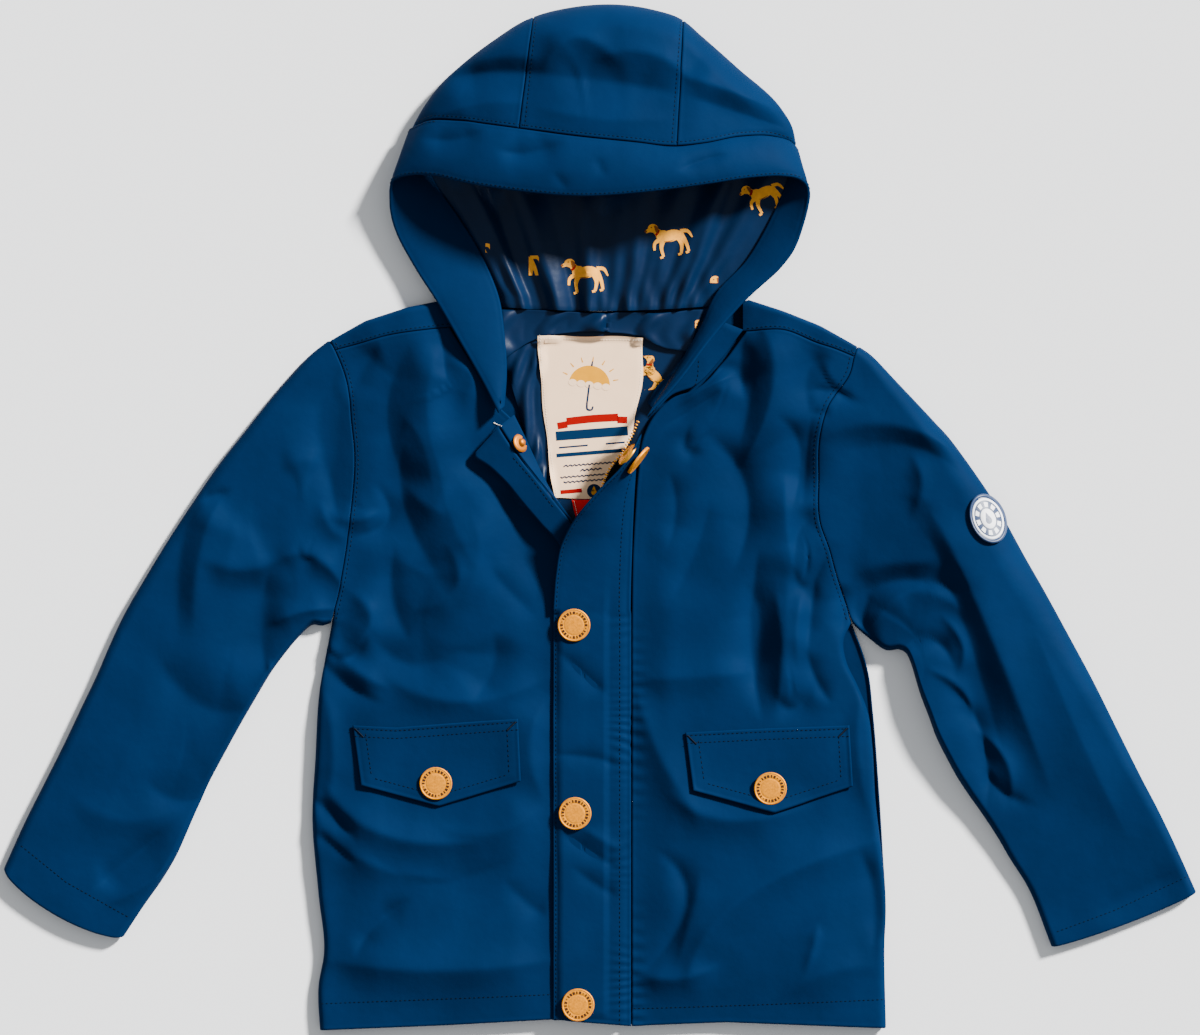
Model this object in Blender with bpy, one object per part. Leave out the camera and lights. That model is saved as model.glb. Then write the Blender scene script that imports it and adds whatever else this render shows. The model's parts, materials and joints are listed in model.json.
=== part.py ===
"""A child's hooded raincoat, laid out flat on its back.

+X is the wearer's left, +Y runs from the hem to the hood and +Z is up from the surface
that the coat lies on, so "right" and "left" below are the wearer's.  Lengths are in
millimetres until a mesh is made.  Every piece that is cut and sewn on is one object:
a closed wall of cloth, worked out from the tables of its own section.
"""

import math

import bpy
import numpy as np
from mathutils import Vector
from mathutils.bvhtree import BVHTree

MM = 0.001

# ---------------------------------------------------------------- driving sizes
WALL = 2.0  # coated cloth with its lining, pressed together
THIN = 1.0  # tape, satin and label
DOUBLE = 2.4  # doubled and topstitched cloth, as in a flap
SEAM = 0.6  # clearance along a seam
LAY = 0.5  # clearance under a piece that lies on another
TOP = 7.0  # top of a front: the back, the air between them and the front
LOWEST = 4.8  # the lowest that a fold presses a front or a sleeve
EDGE = 3.5  # height of the side folds of the body and the sleeves
ROLL = 4.5  # how far in from a side fold the cloth is rounded
SNAP = 21.6  # across a snap's cap
BADGE = (12.0, 17.0)  # the badge's half size across and along the sleeve, seen from above
HOOD_EDGE = 8.0  # height of the hood's outline
HOOD_ROLL = 18.0  # how far in the hood's upper side is rounded, at most
HOOD_UNDER = 7.0  # how far in its underside is rounded

NAVY = (0.004, 0.046, 0.135)
SATIN = (0.003, 0.018, 0.060)
CREAM = (0.86, 0.80, 0.66)
COPPER = (0.78, 0.45, 0.28)
BRASS = (0.72, 0.55, 0.25)
RED = (0.55, 0.03, 0.03)

# ---------------------------------------------------------------- outlines, columns x, y
# Side folds of the back, from the hem to the underarm.
SIDE_RIGHT = (
    (-185, -337), (-186, -308), (-182.5, -288), (-186, -248), (-190, -198),
    (-188, -158), (-185, -112), (-181, -90), (-177, -69),
)
SIDE_LEFT = (
    (189, -336), (188, -282), (189, -261), (187, -220), (184, -172),
    (180.5, -128), (177, -100), (172, -84), (166, -69),
)
# The left front's side edge lies inside the back's fold below the arm.
SIDE_LEFT_FRONT = (
    (189, -336), (188, -282), (188.5, -261), (187, -230), (182, -185),
    (180, -150), (177, -128), (170, -110), (163, -95), (161, -82), (166, -69),
)
# Armhole seams, from the fold over the shoulder to the underarm.
ARMHOLE_RIGHT = (
    (-178, 117), (-174, 109), (-167, 90), (-164, 63), (-162, 43),
    (-164, 7), (-167, -18), (-171, -43), (-177, -69),
)
ARMHOLE_LEFT = (
    (170, 113), (168, 108), (165, 96), (150, 73), (145, 55), (144, 26),
    (145, -3), (151, -20), (156, -38), (161, -53), (166, -69),
)
# Each front's inner edge: the zip up to the level of the underarm, then zip and neckline.
ZIP_RIGHT = ((2, -331.5), (2, -200), (2, -69))
NECK_RIGHT = (
    (2, -69), (1.5, -42), (-5, -20), (-20, -3), (-33, 13.5), (-44, 34), (-51, 52),
    (-57, 64), (-66, 73), (-74, 86), (-82, 99), (-91, 113), (-99, 126),
)
ZIP_LEFT = ((20.8, -335), (20.8, -200), (20.8, -69))
NECK_LEFT = (
    (20.8, -69), (21.5, -22), (23, 5), (25, 30), (29, 55), (36, 68), (47.5, 79),
    (62.7, 85), (80, 101), (96.5, 123),
)
# Shoulder seams, which lie forward of the fold over the shoulder.
SHOULDER_RIGHT = ((-174.8, 110.6), (-158, 115), (-141, 120), (-120, 123.5), (-99, 126))
SHOULDER_LEFT = ((167.6, 106.4), (155, 111.5), (144, 115), (121, 124), (96.5, 123))
# The back's upper edge: over both shoulders and along the neck between them.
BACK_TOP = (
    (-178, 117), (-155, 130), (-127, 139), (-104, 143.5), (-67, 141), (0, 136.5),
    (67, 141), (98, 144), (121, 136.5), (145, 127), (170, 113),
)
HEM = ((-185, -338), (-100, -334.5), (-31, -330.7), (20, -335), (83, -332.6), (189, -336.6))

# ---------------------------------------------------------------- folds
# One row a fold: its ends x0, y0 and x1, y1, how far it bows to the left of that run,
# its half width, and its height, negative for a trough.
FOLDS = (
    # right front
    (-130, 116, -124, -25, -15, 6.0, 4.5),
    (-120, 117, -114, -21, -15, 5.5, -3.5),
    (-128, 64, -119, 42, 2, 4.0, -1.5),
    (-100, 102, -92, 72, 6, 5.0, -2.0),
    (-127, 18, -106, -20, 3, 5.0, -2.5),
    (-96, -20, -119, -58, -4, 6.0, -3.0),
    (-104, -22, -126, -52, -3, 6.0, 2.5),
    (-133, -38, -129, -62, 2, 4.0, -2.0),
    (-168, -14, -140, 16, -8, 5.0, -3.0),
    (-176, 4, -146, 10, -4, 6.0, 3.5),
    (-87, -28, -83, -120, 3, 11.0, 3.0),
    (-72, -70, -68, -118, 2, 8.0, -2.0),
    (-152, -124, -52, -128, -4, 8.0, -2.5),
    (-176, -84, -158, -92, -3, 4.0, -2.0),
    (-180, -104, -146, -126, -5, 5.0, -2.0),
    (-188, -188, -52, -204, -30, 9.0, -3.0),
    (-180, -176, -60, -190, -28, 9.0, 1.8),
    (-160, -286, -128, -254, 3, 5.0, -2.0),
    (-168, -304, -36, -300, -4, 8.0, -2.5),
    # left front
    (58, 60, 94, 32, -4, 5.0, -2.5),
    (99, 120, 96, 42, 9, 5.0, -3.5),
    (110, 118, 106, 40, 8, 6.0, 3.5),
    (86, 36, 86, -44, 9, 5.0, -3.0),
    (124, 56, 124, -12, 0, 4.0, -2.5),
    (132, 104, 131, -26, 3, 6.0, 4.5),
    (150, 103, 135, -2, -6, 4.0, -2.5),
    (140, 85, 182, 88, 3, 6.0, -3.0),
    (108, -26, 108, -116, 0, 8.0, -2.5),
    (146, -40, 156, -118, -3, 5.0, -2.5),
    (132, -40, 130, -110, 0, 5.0, -1.5),
    (24, -146, 94, -197, -20, 8.0, -3.0),
    (34, -140, 100, -186, -18, 8.0, 2.0),
    (48, -236, 38, -272, 10, 5.0, -1.5),
    (86, -262, 140, -236, 0, 8.0, -2.5),
    (84, -250, 136, -226, 0, 8.0, 2.0),
    (84, -262, 60, -291, 0, 6.0, -1.5),
    (28, -310, 78, -305, -3, 6.0, -2.5),
    # right sleeve
    (-238, 32, -274, -66, -6, 8.0, -4.0),
    (-254, 20, -286, -60, -4, 8.0, 2.5),
    (-258, -34, -194, -22, -5, 7.0, 3.5),
    (-222, -42, -218, -104, 3, 6.0, -4.5),
    (-232, -46, -226, -108, 2, 6.0, 3.0),
    (-198, -36, -174, -48, -4, 4.0, -2.5),
    (-176, 90, -174, 8, -2, 5.0, -3.5),
    (-196, -16, -176, 4, -4, 6.0, 3.0),
    (-328, -238, -284, -206, 4, 6.0, -3.0),
    (-322, -250, -284, -222, 3, 6.0, 2.0),
    # left sleeve
    (156, 52, 236, 41, 4, 6.0, -4.0),
    (162, 62, 232, 54, 4, 7.0, 2.5),
    (204, 34, 209, -2, -2, 4.0, -2.5),
    (172, -44, 236, -32, 14, 6.0, -4.5),
    (218, -2, 287, -166, 8, 7.0, -8.0),
    (176, -60, 226, -52, 8, 9.0, 3.0),
    (212, -82, 234, -78, 3, 7.0, -3.5),
    (238, -124, 284, -188, 8, 5.0, -2.5),
    (252, -132, 268, -178, 4, 6.0, 2.5),
)
# Folds of the hood's upper side.
HOOD_FOLDS = (
    (-104, 286, 118, 262, 22, 9.0, -7.0),
    (-100, 304, 110, 288, 18, 9.0, 4.0),
    (-112, 250, -60, 243, 0, 5.0, -1.5),
    (-4, 238, 4, 212, 0, 5.0, -1.5),
    (48, 226, 86, 240, 2, 5.0, -1.5),
)

# ---------------------------------------------------------------- sleeves
# One row a section, from the armhole to the cuff: outer edge x, y, inner edge x, y, how
# far the section bows towards the cuff, the height of its top and how far in from the
# outer edge it is rounded.
SLEEVE_RIGHT = (
    (-178.0, 117, -177.0, -69, 0.0, 7.0, 5.0),
    (-190.7, 107, -183.0, -71, 0.0, 7.5, 6.0),
    (-205.0, 92, -190.7, -71, 0.0, 8.0, 7.0),
    (-218.5, 76.6, -200.0, -80, 0.0, 8.5, 8.0),
    (-235.0, 56, -209.0, -91, 0.0, 9.0, 9.0),
    (-251.5, 35, -217.0, -102, 0.0, 9.5, 10.0),
    (-268.0, 11, -226.0, -117, 0.0, 9.5, 10.0),
    (-285.0, -15, -237.6, -137, 0.0, 9.5, 10.0),
    (-299.0, -38, -248.0, -156, 0.0, 9.0, 9.0),
    (-313.0, -62, -257.4, -173.6, 1.0, 8.5, 8.0),
    (-323.0, -83, -263.0, -186, 2.0, 8.5, 8.0),
    (-332.0, -104, -268.0, -197, 3.0, 8.5, 7.0),
    (-343.0, -127, -274.0, -211, 4.0, 8.5, 7.0),
    (-354.4, -151, -280.0, -224, 5.0, 8.5, 7.0),
    (-367.0, -176, -289.0, -239, 7.0, 8.2, 6.0),
    (-379.5, -201, -301.0, -256, 8.5, 7.9, 6.0),
    (-393.4, -231.7, -314.5, -276.5, 9.5, 7.7, 6.0),
)
SLEEVE_LEFT = (
    (170.0, 113, 166.0, -69, 0.0, 7.0, 5.0),
    (179.5, 106, 171.0, -74, 0.0, 8.0, 7.0),
    (194.0, 91, 177.0, -79, 0.0, 9.0, 10.0),
    (208.6, 76, 188.0, -87, 0.0, 11.0, 13.0),
    (221.0, 63, 198.0, -87, 0.0, 13.0, 17.0),
    (233.0, 49.5, 204.0, -93, 0.0, 15.0, 21.0),
    (254.0, 20, 211.0, -115.5, 0.0, 17.0, 25.0),
    (267.0, -1.3, 216.5, -130, 0.0, 17.0, 25.0),
    (280.0, -25, 221.8, -144.5, 0.0, 16.0, 24.0),
    (293.7, -49, 228.5, -158, 0.0, 14.5, 20.0),
    (309.5, -78, 235.6, -171, 0.0, 13.0, 16.0),
    (325.4, -107.6, 243.5, -183, 0.5, 11.5, 13.0),
    (341.0, -139, 252.0, -195, 1.0, 10.0, 10.0),
    (357.0, -171, 262.5, -211, 1.5, 9.0, 8.0),
    (368.0, -192, 270.0, -224, 2.0, 8.2, 7.0),
    (380.0, -217, 284.0, -247, 2.5, 7.9, 6.0),
    (393.4, -247, 298.0, -283, 3.0, 7.7, 6.0),
)

# ---------------------------------------------------------------- hood
# Seam between the crown and the face band, from right to left: x, y, z.
CROWN_SEAM = (
    (-121.5, 257.5, 12), (-114.8, 261.2, 18), (-93.7, 261.5, 26), (-74.6, 259, 32),
    (-51.5, 255.8, 37), (-16.5, 251, 40), (22.4, 247, 40), (47.5, 244.5, 38),
    (69, 246.5, 34), (92, 251, 27), (112, 251.5, 19), (125.5, 248, 12),
)
# The hood's outline over the same run: x, y.
HOOD_OUTLINE = (
    (-124.8, 255.5), (-116.8, 270), (-107.6, 283), (-89.8, 300), (-68.6, 316),
    (-49.5, 328), (-16.5, 337), (18.5, 338), (34.3, 335.3), (54, 328.7),
    (66.7, 318), (90.4, 297), (119.5, 270), (126.7, 258), (129.5, 246),
)
# Where its underside ends: down the right band, along the neck and up the left band.
HOOD_FOOT = (
    (-107, 221.5), (-89, 193.5), (-74, 167.5), (-69, 151), (-66.5, 143.8), (-58, 142.2),
    (-30, 140), (0, 138.2), (30, 140), (60, 142.4), (70, 143.2), (76, 144.8), (81, 151),
    (93.5, 166), (112.5, 199), (120.4, 217.5),
)
# Where the centre panel's two seams run: crown x, outline x, foot x.
CENTRE_SEAMS = ((-51.3, -43.8, -30.0), (49.0, 55.0, 33.0))
# The face band, from the right end at the neck, round the opening and back to the left
# end: its free edge x, y, z and its seam x, y, z, both on the middle of the wall.
FACE_BAND = (
    (-67.0, 69, 20.0, -63.5, 73, 15.0),
    (-76.6, 88, 17.5, -61.5, 94, 13.0),
    (-93.0, 117, 15.0, -63.0, 122, 10.5),
    (-108.0, 143, 12.5, -67.0, 147, 7.5),
    (-121.5, 164, 10.0, -79.0, 175, 5.5),
    (-134.0, 187, 10.5, -93.0, 198, 4.5),
    (-138.4, 203, 13.0, -108.0, 220, 3.6),
    (-138.6, 211, 15.5, -116.0, 236, 3.0),
    (-138.0, 217, 17.5, -122.0, 249, 3.8),
    (-136.6, 221, 19.5, -125.2, 254.5, 8.0),
    (-132.5, 223.5, 22.0, -121.0, 257, 13.0),
    (-126.0, 225, 25.0, -113.5, 260, 19.0),
    (-111.0, 225, 31.0, -93.0, 260, 26.0),
    (-83.8, 219, 38.0, -74.0, 257.5, 32.0),
    (-54.8, 214.5, 43.0, -51.0, 254.3, 37.0),
    (-16.5, 211, 46.0, -16.5, 249.5, 39.5),
    (12.5, 212, 46.0, 22.4, 245.5, 39.0),
    (41.6, 215, 44.0, 47.5, 243, 37.5),
    (70.6, 219, 40.0, 69.0, 245, 33.0),
    (99.7, 223.5, 33.0, 92.0, 249.5, 26.0),
    (120.0, 224.5, 26.0, 113.0, 250, 19.0),
    (131.0, 222.5, 21.5, 125.0, 246.8, 12.5),
    (136.0, 218.5, 19.0, 129.8, 242, 7.5),
    (138.0, 213, 17.5, 128.5, 234, 3.6),
    (137.2, 205, 16.0, 124.5, 225, 3.0),
    (133.0, 189, 14.5, 119.5, 212, 3.6),
    (119.5, 165, 14.5, 97.5, 171, 5.5),
    (95.7, 143, 18.0, 77.0, 148.5, 8.0),
    (73.0, 117, 22.0, 66.5, 126, 11.0),
    (51.0, 88, 26.0, 54.5, 104, 14.0),
    (30.5, 66, 29.0, 41.5, 82, 17.0),
)
# Foot of the hood sides, seen beyond the band: neckline x, y and the edge under the band.
BASE_RIGHT = (
    (-96.5, 124.5, -89.0, 127.0), (-90.0, 113.5, -80.0, 116), (-81.0, 99.5, -71.0, 101),
    (-73.0, 86.5, -65.0, 88),
)
BASE_LEFT = (
    (37.0, 70.0, 31.5, 76), (47.0, 80.5, 38.5, 88), (61.5, 86.5, 50.5, 97),
    (78.5, 102.5, 66.5, 112), (94.5, 124.0, 82.0, 129),
)
# Gathers of the hood's lining where it is sewn to the neck: x, width, height, and how
# far towards the crown each one reaches.
GATHERS = (
    (-52, 7, 3.5, 0.8), (-38, 6, -1.0, 0.7), (-27, 6, 4.0, 0.9), (-14, 5, -1.0, 0.6),
    (-6, 6, 4.5, 0.7), (7, 5, 2.5, 0.6), (18, 6, 4.0, 0.9), (31, 6, 3.0, 0.8),
    (44, 6, 4.0, 0.6), (58, 6, 3.0, 0.8),
)

# ---------------------------------------------------------------- edges at the neck
# The storm flap above the chest, where it turns up on its edge: seam x, y, z and free
# edge x, y, z of its outer face.
FLAP_TOP = (
    (20.2, -61, 9.8, -31.0, -61, 12.8),
    (20.6, -40, 10.0, -29.0, -36, 14.5),
    (21.2, -23, 10.4, -25.7, -18.5, 19.0),
    (21.8, -8, 11.0, -17.0, -2, 27.0),
    (22.4, 3, 11.6, -10.6, 6, 31.5),
    (23.0, 14, 12.2, 0.0, 18, 35.0),
    (23.8, 27, 13.0, 15.0, 33, 37.5),
    (24.4, 38, 14.0, 21.8, 43, 38.0),
    (26.5, 49, 15.0, 28.0, 55, 37.0),
)
# The gutter strip on the right front: its edge at the zip, its roll line and the free
# edge of the part turned back over the front, each x, y, z.
PLACKET = (
    (-56.5, 68.0, 13.0, -66.0, 60.7, 22.5, -80.5, 39.0, 12.6),
    (-50.5, 56.0, 13.0, -59.5, 50.5, 22.5, -72.0, 33.5, 12.6),
    (-44.0, 42.0, 12.5, -52.8, 41.0, 22.0, -62.0, 23.0, 12.4),
    (-33.5, 20.0, 11.5, -39.6, 24.4, 20.5, -50.0, 9.0, 12.0),
    (-20.0, 0.0, 11.0, -29.0, 11.2, 18.0, -38.5, -4.5, 11.8),
    (-8.0, -15.0, 10.5, -16.5, -6.0, 15.0, -26.5, -18.0, 11.4),
    (-1.0, -32.0, 9.6, -11.5, -28.0, 11.4, -23.5, -34.0, 10.4),
    (1.5, -50.0, 9.0, -10.5, -50.0, 9.2, -23.5, -50.0, 9.2),
)
# The left zip tape, from its seam to its teeth: x, y, z and x, y, z.
TAPE_LEFT_TOP = (
    (20.0, -62, 6.0, 12.0, -62, 6.0),
    (20.0, -42, 6.0, 11.0, -40, 6.2),
    (20.0, -26, 6.0, 8.5, -20, 7.2),
    (20.0, -10, 6.2, 4.0, -4, 10.5),
    (20.0, 8, 7.0, 1.0, 15, 17.0),
    (20.2, 24, 8.4, 6.5, 31, 22.0),
    (21.0, 38, 9.4, 14.5, 45, 25.0),
    (22.5, 48, 10.6, 21.0, 56, 26.5),
)
# Neck opening: the satin facing between its upper and lower edges.
FACING = (
    (-65.5, 141.0, -64.5, 102), (-50.0, 140.5, -49.0, 115), (-30.0, 139.5, -31.0, 121),
    (0.0, 138.5, -1.0, 122.5), (24.0, 138.5, 22.0, 121), (46.0, 139.0, 42.0, 112),
    (68.5, 141.0, 58.0, 110),
)
# The back's lining, which shows down to the foot of the opening: left and right edges.
LINING_SHOWN = (
    (-63.0, 126.0, 61.0, 126.0), (-62.0, 101.0, 53.0, 104.0), (-56.0, 80.0, 42.0, 84.0),
    (-51.0, 60.0, 30.0, 60.0), (-43.5, 36.0, 25.0, 36.0), (-34.0, 12.0, 24.0, 12.0),
    (-23.0, -3.0, 19.0, -6.0), (-10.0, -18.0, 10.0, -20.0),
)
LABEL_EDGES = (
    (-41.0, 120.0, 28.5, 119.0), (-39.0, 90.0, 27.5, 88.0), (-36.0, 60.0, 22.0, 60.0),
    (-33.0, 35.0, 18.5, 35.0), (-30.0, 13.0, 15.5, 13.0),
)
TAG_EDGES = ((-18.5, 12.0, -2.5, 12.0), (-17.0, 4.0, -6.0, 4.0), (-15.0, -2.5, -9.5, -2.5))

# ---------------------------------------------------------------- pocket flaps and snaps
# Upper edge left to right, then lower edge left to right with its point: x, y.
POCKET_RIGHT = (
    ((-163.2, -136.6), (-134.6, -138.0), (-54.0, -132.2)),
    ((-157.7, -176.2), (-106.5, -190.0), (-52.1, -173.6)),
)
POCKET_LEFT = (
    ((56.1, -141.2), (110.0, -138.6), (164.3, -136.6)),
    ((61.4, -179.5), (114.8, -194.0), (166.7, -176.9)),
)
FLAP_SNAPS = ((-17.2, -70.6), (-16.5, -194.7), (-14.5, -320.8))
POCKET_SNAPS = {"right": (-108.2, -174.9), "left": (112.2, -178.2)}
BADGE_PLACE = (255.6, -0.4)
BADGE_TURN = math.radians(22)  # the long axis lies nearly along the sleeve


# ---------------------------------------------------------------- helpers
def along(table, at):
    """Points at the fractions `at` of a smooth line through the rows of a table."""
    points = np.array(table, float)
    steps = np.linalg.norm(np.diff(points, axis=0), axis=1)
    place = np.append(0.0, np.cumsum(steps)) / steps.sum()
    slope = np.gradient(points, place, axis=0)
    at = np.atleast_1d(at)
    k = np.clip(np.searchsorted(place, at, side="right") - 1, 0, len(points) - 2)
    span = (place[k + 1] - place[k])[:, None]
    t = (at - place[k])[:, None] / span
    through = points[k] * (1 + 2 * t) * (1 - t) ** 2 + points[k + 1] * t * t * (3 - 2 * t)
    return through + span * t * (1 - t) * (slope[k] * (1 - t) - slope[k + 1] * t)


def straight(table, at):
    """Points at the fractions `at` of the length of a line with straight runs."""
    points = np.array(table, float)
    steps = np.linalg.norm(np.diff(points, axis=0), axis=1)
    place = np.append(0.0, np.cumsum(steps)) / steps.sum()
    return np.stack([np.interp(at, place, column) for column in points.T], axis=1)


def quarter(t):
    """Height of a quarter round, from 0 at its edge to 1."""
    return np.sqrt(1 - (1 - np.clip(t, 0, 1)) ** 2)


def soft_step(t):
    """0 to 1 with level ends."""
    t = np.clip(t, 0, 1)
    return t * t * (3 - 2 * t)


def relief(x, y, folds):
    """Height that the folds add at x, y."""
    height = np.zeros(np.shape(x))
    for x0, y0, x1, y1, bow, width, rise in folds:
        length = math.hypot(x1 - x0, y1 - y0)
        ux, uy = (x1 - x0) / length, (y1 - y0) / length
        t = ((x - x0) * ux + (y - y0) * uy) / length
        off = (y - y0) * ux - (x - x0) * uy - bow * 4 * t * (1 - t)
        ends = soft_step((t + 0.15) / 0.35) * soft_step((1.15 - t) / 0.35)
        height += rise * ends * np.exp(-((off / width) ** 2))
    return height


def lying(x, y, base):
    """Height of cloth that lies over the back at x, y, folded but never pressed flat."""
    over = base + relief(x, y, FOLDS) - LOWEST
    return LOWEST + 0.5 * (over + np.sqrt(over**2 + 1.0))


def material(name, colour, roughness, metallic=0.0):
    made = bpy.data.materials.new(name)
    made.use_nodes = True
    shader = made.node_tree.nodes["Principled BSDF"]
    shader.inputs["Base Color"].default_value = (*colour, 1.0)
    shader.inputs["Roughness"].default_value = roughness
    shader.inputs["Metallic"].default_value = metallic
    return made


SURFACES = {}  # name of a piece: the tree of its upper faces, to lay others on


def piece(name, points, faces, finish):
    """One object from points in millimetres."""
    mesh = bpy.data.meshes.new(name)
    mesh.from_pydata([Vector(p) * MM for p in points], [], faces)
    mesh.shade_smooth()
    mesh.set_sharp_from_angle(angle=math.radians(50))
    made = bpy.data.objects.new(name, mesh)
    made.data.materials.append(material(name + "_finish", *finish))
    bpy.context.scene.collection.objects.link(made)
    SURFACES[name] = BVHTree.FromPolygons([Vector(p) for p in points], faces)
    return made


def side_line(grid, side):
    """The points of one side of a grid of rows and columns."""
    return {
        "first row": grid[0],
        "last row": grid[-1],
        "first column": grid[:, 0],
        "last column": grid[:, -1],
    }[side]


def wall(name, grid, finish, thick=WALL, ring=False, inside=(0, 0, -1e5), seams=(), keep=None,
         centred=False):
    """A closed wall of cloth from a grid of outer points.

    Its other face lies `thick` towards the point `inside`, half on each side if the grid
    is the wall's middle.  At the sides named in `seams` the rim stands upright, so that
    the next piece can meet it.  `keep` says which cells of the grid are cloth.
    """
    grid = np.array(grid, float)
    rows, columns = grid.shape[:2]
    if ring:
        across = np.roll(grid, -1, axis=1) - np.roll(grid, 1, axis=1)
    else:
        across = np.gradient(grid, axis=1)
    out = np.cross(across, np.gradient(grid, axis=0))
    out /= np.linalg.norm(out, axis=2, keepdims=True)
    turned = (out * (grid - np.array(inside, float))).sum() < 0
    if turned:
        out = -out
    for side in seams:
        line, normal = side_line(grid, side), side_line(out, side)
        run = np.gradient(line, axis=0)
        square = np.stack((run[:, 1], -run[:, 0], np.zeros(len(run))), axis=1)
        size = np.linalg.norm(square, axis=1)
        # Where the line stands upright, its nearest level part says which way is square.
        level = np.flatnonzero(size > 0.3 * np.linalg.norm(run, axis=1))
        nearest = level[np.abs(np.arange(len(run))[:, None] - level).argmin(axis=1)]
        square = square[nearest] / size[nearest, None]
        leans = (normal * square).sum(axis=1, keepdims=True)
        rolled = (np.abs(leans) > 0.65) & (not ring)
        normal[:] = np.where(rolled, np.sign(leans) * square, normal - leans * square)
        normal /= np.linalg.norm(normal, axis=1, keepdims=True)
    outer = grid + out * (thick / 2 if centred else 0.0)
    inner = outer - out * thick

    def corner(i, j):
        return i * columns + j % columns

    upper = []
    for i in range(rows - 1):
        for j in range(columns if ring else columns - 1):
            if keep is not None and not keep[i][j]:
                continue
            a, b, c, d = corner(i, j), corner(i, j + 1), corner(i + 1, j + 1), corner(i + 1, j)
            flat = outer.reshape(-1, 3)
            if np.linalg.norm(flat[a] - flat[c]) <= np.linalg.norm(flat[b] - flat[d]):
                upper += [(a, b, c), (a, c, d)]
            else:
                upper += [(a, b, d), (b, c, d)]
    if turned:
        upper = [(a, c, b) for a, b, c in upper]
    shift = rows * columns
    lower = [(a + shift, c + shift, b + shift) for a, b, c in upper]
    runs = {(t[k], t[(k + 1) % 3]) for t in upper for k in range(3)}
    rim = []
    for a, b in sorted(runs):
        if (b, a) not in runs:
            rim += [(b, a, a + shift), (b, a + shift, b + shift)]
    points = np.concatenate((outer.reshape(-1, 3), inner.reshape(-1, 3)))
    faces = upper + lower + rim
    used = sorted({corner_index for face in faces for corner_index in face})
    new_index = {old: new for new, old in enumerate(used)}
    faces = [tuple(new_index[k] for k in face) for face in faces]
    return piece(name, points[used], faces, finish)


def height_over(names, x, y, reach=2.5):
    """The highest that the named pieces come near each x, y."""
    around = [(0.0, 0.0)] + [
        (reach * math.cos(turn), reach * math.sin(turn)) for turn in np.arange(0, 6.28, 1.047)
    ]
    heights = []
    for px, py in zip(np.ravel(x), np.ravel(y)):
        highest = 0.0
        for name in names:
            for dx, dy in around:
                start = Vector((px + dx, py + dy, 200.0))
                hit = SURFACES[name].ray_cast(start, Vector((0.0, 0.0, -1.0)))[0]
                if hit is not None:
                    highest = max(highest, hit.z)
        heights.append(highest)
    return np.reshape(heights, np.shape(x))


def between(first, last, at):
    """Rows of points from each point of one line to its partner on another."""
    at = np.asarray(at, float)
    if at.ndim == 1:
        at = np.broadcast_to(at, (len(first), len(at)))
    return first[:, None, :] + (last - first)[:, None, :] * at[:, :, None]


def turned(name, profile, centre, finish, sides=20, lean=0.0, heading=0.0):
    """A round piece from radius, height pairs; the first and last lie on its axis."""
    points = [(0.0, 0.0, profile[0][1])]
    for radius, height in profile[1:-1]:
        for k in range(sides):
            turn = 2 * math.pi * k / sides
            points.append((radius * math.cos(turn), radius * math.sin(turn), height))
    points.append((0.0, 0.0, profile[-1][1]))
    last = len(points) - 1
    faces = []
    for k in range(sides):
        after = (k + 1) % sides
        faces.append((0, 1 + after, 1 + k))
        for ring in range(len(profile) - 3):
            low, high = 1 + ring * sides, 1 + (ring + 1) * sides
            faces.append((low + k, low + after, high + after, high + k))
        top = 1 + (len(profile) - 3) * sides
        faces.append((last, top + k, top + after))
    points = np.array(points)
    tilt = np.array(
        ((math.cos(lean), 0, math.sin(lean)), (0, 1, 0), (-math.sin(lean), 0, math.cos(lean)))
    )
    swing = np.array(
        ((math.cos(heading), -math.sin(heading), 0), (math.sin(heading), math.cos(heading), 0), (0, 0, 1))
    )
    return piece(name, points @ (swing @ tilt).T + np.array(centre), faces, finish)


CLOTH = (NAVY, 0.45)
LINED = (SATIN, 0.35)

# ---------------------------------------------------------------- shared rows
# Fractions of a section from one edge to the other, closer together at both ends.
ACROSS = 0.5 * (1 - np.cos(np.linspace(0, math.pi, 17)))
SHOULDER_STEP = 2  # the step of ACROSS where an armhole meets the shoulder seam
LOWER_ROWS = np.linspace(0, 1, 17)
LEVEL_COLUMNS = np.linspace(0, 1, 12)[1:]


def armhole(table):
    """The armhole seam as the sleeve, the front and the back all share it."""
    return along(table, ACROSS)


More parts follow.
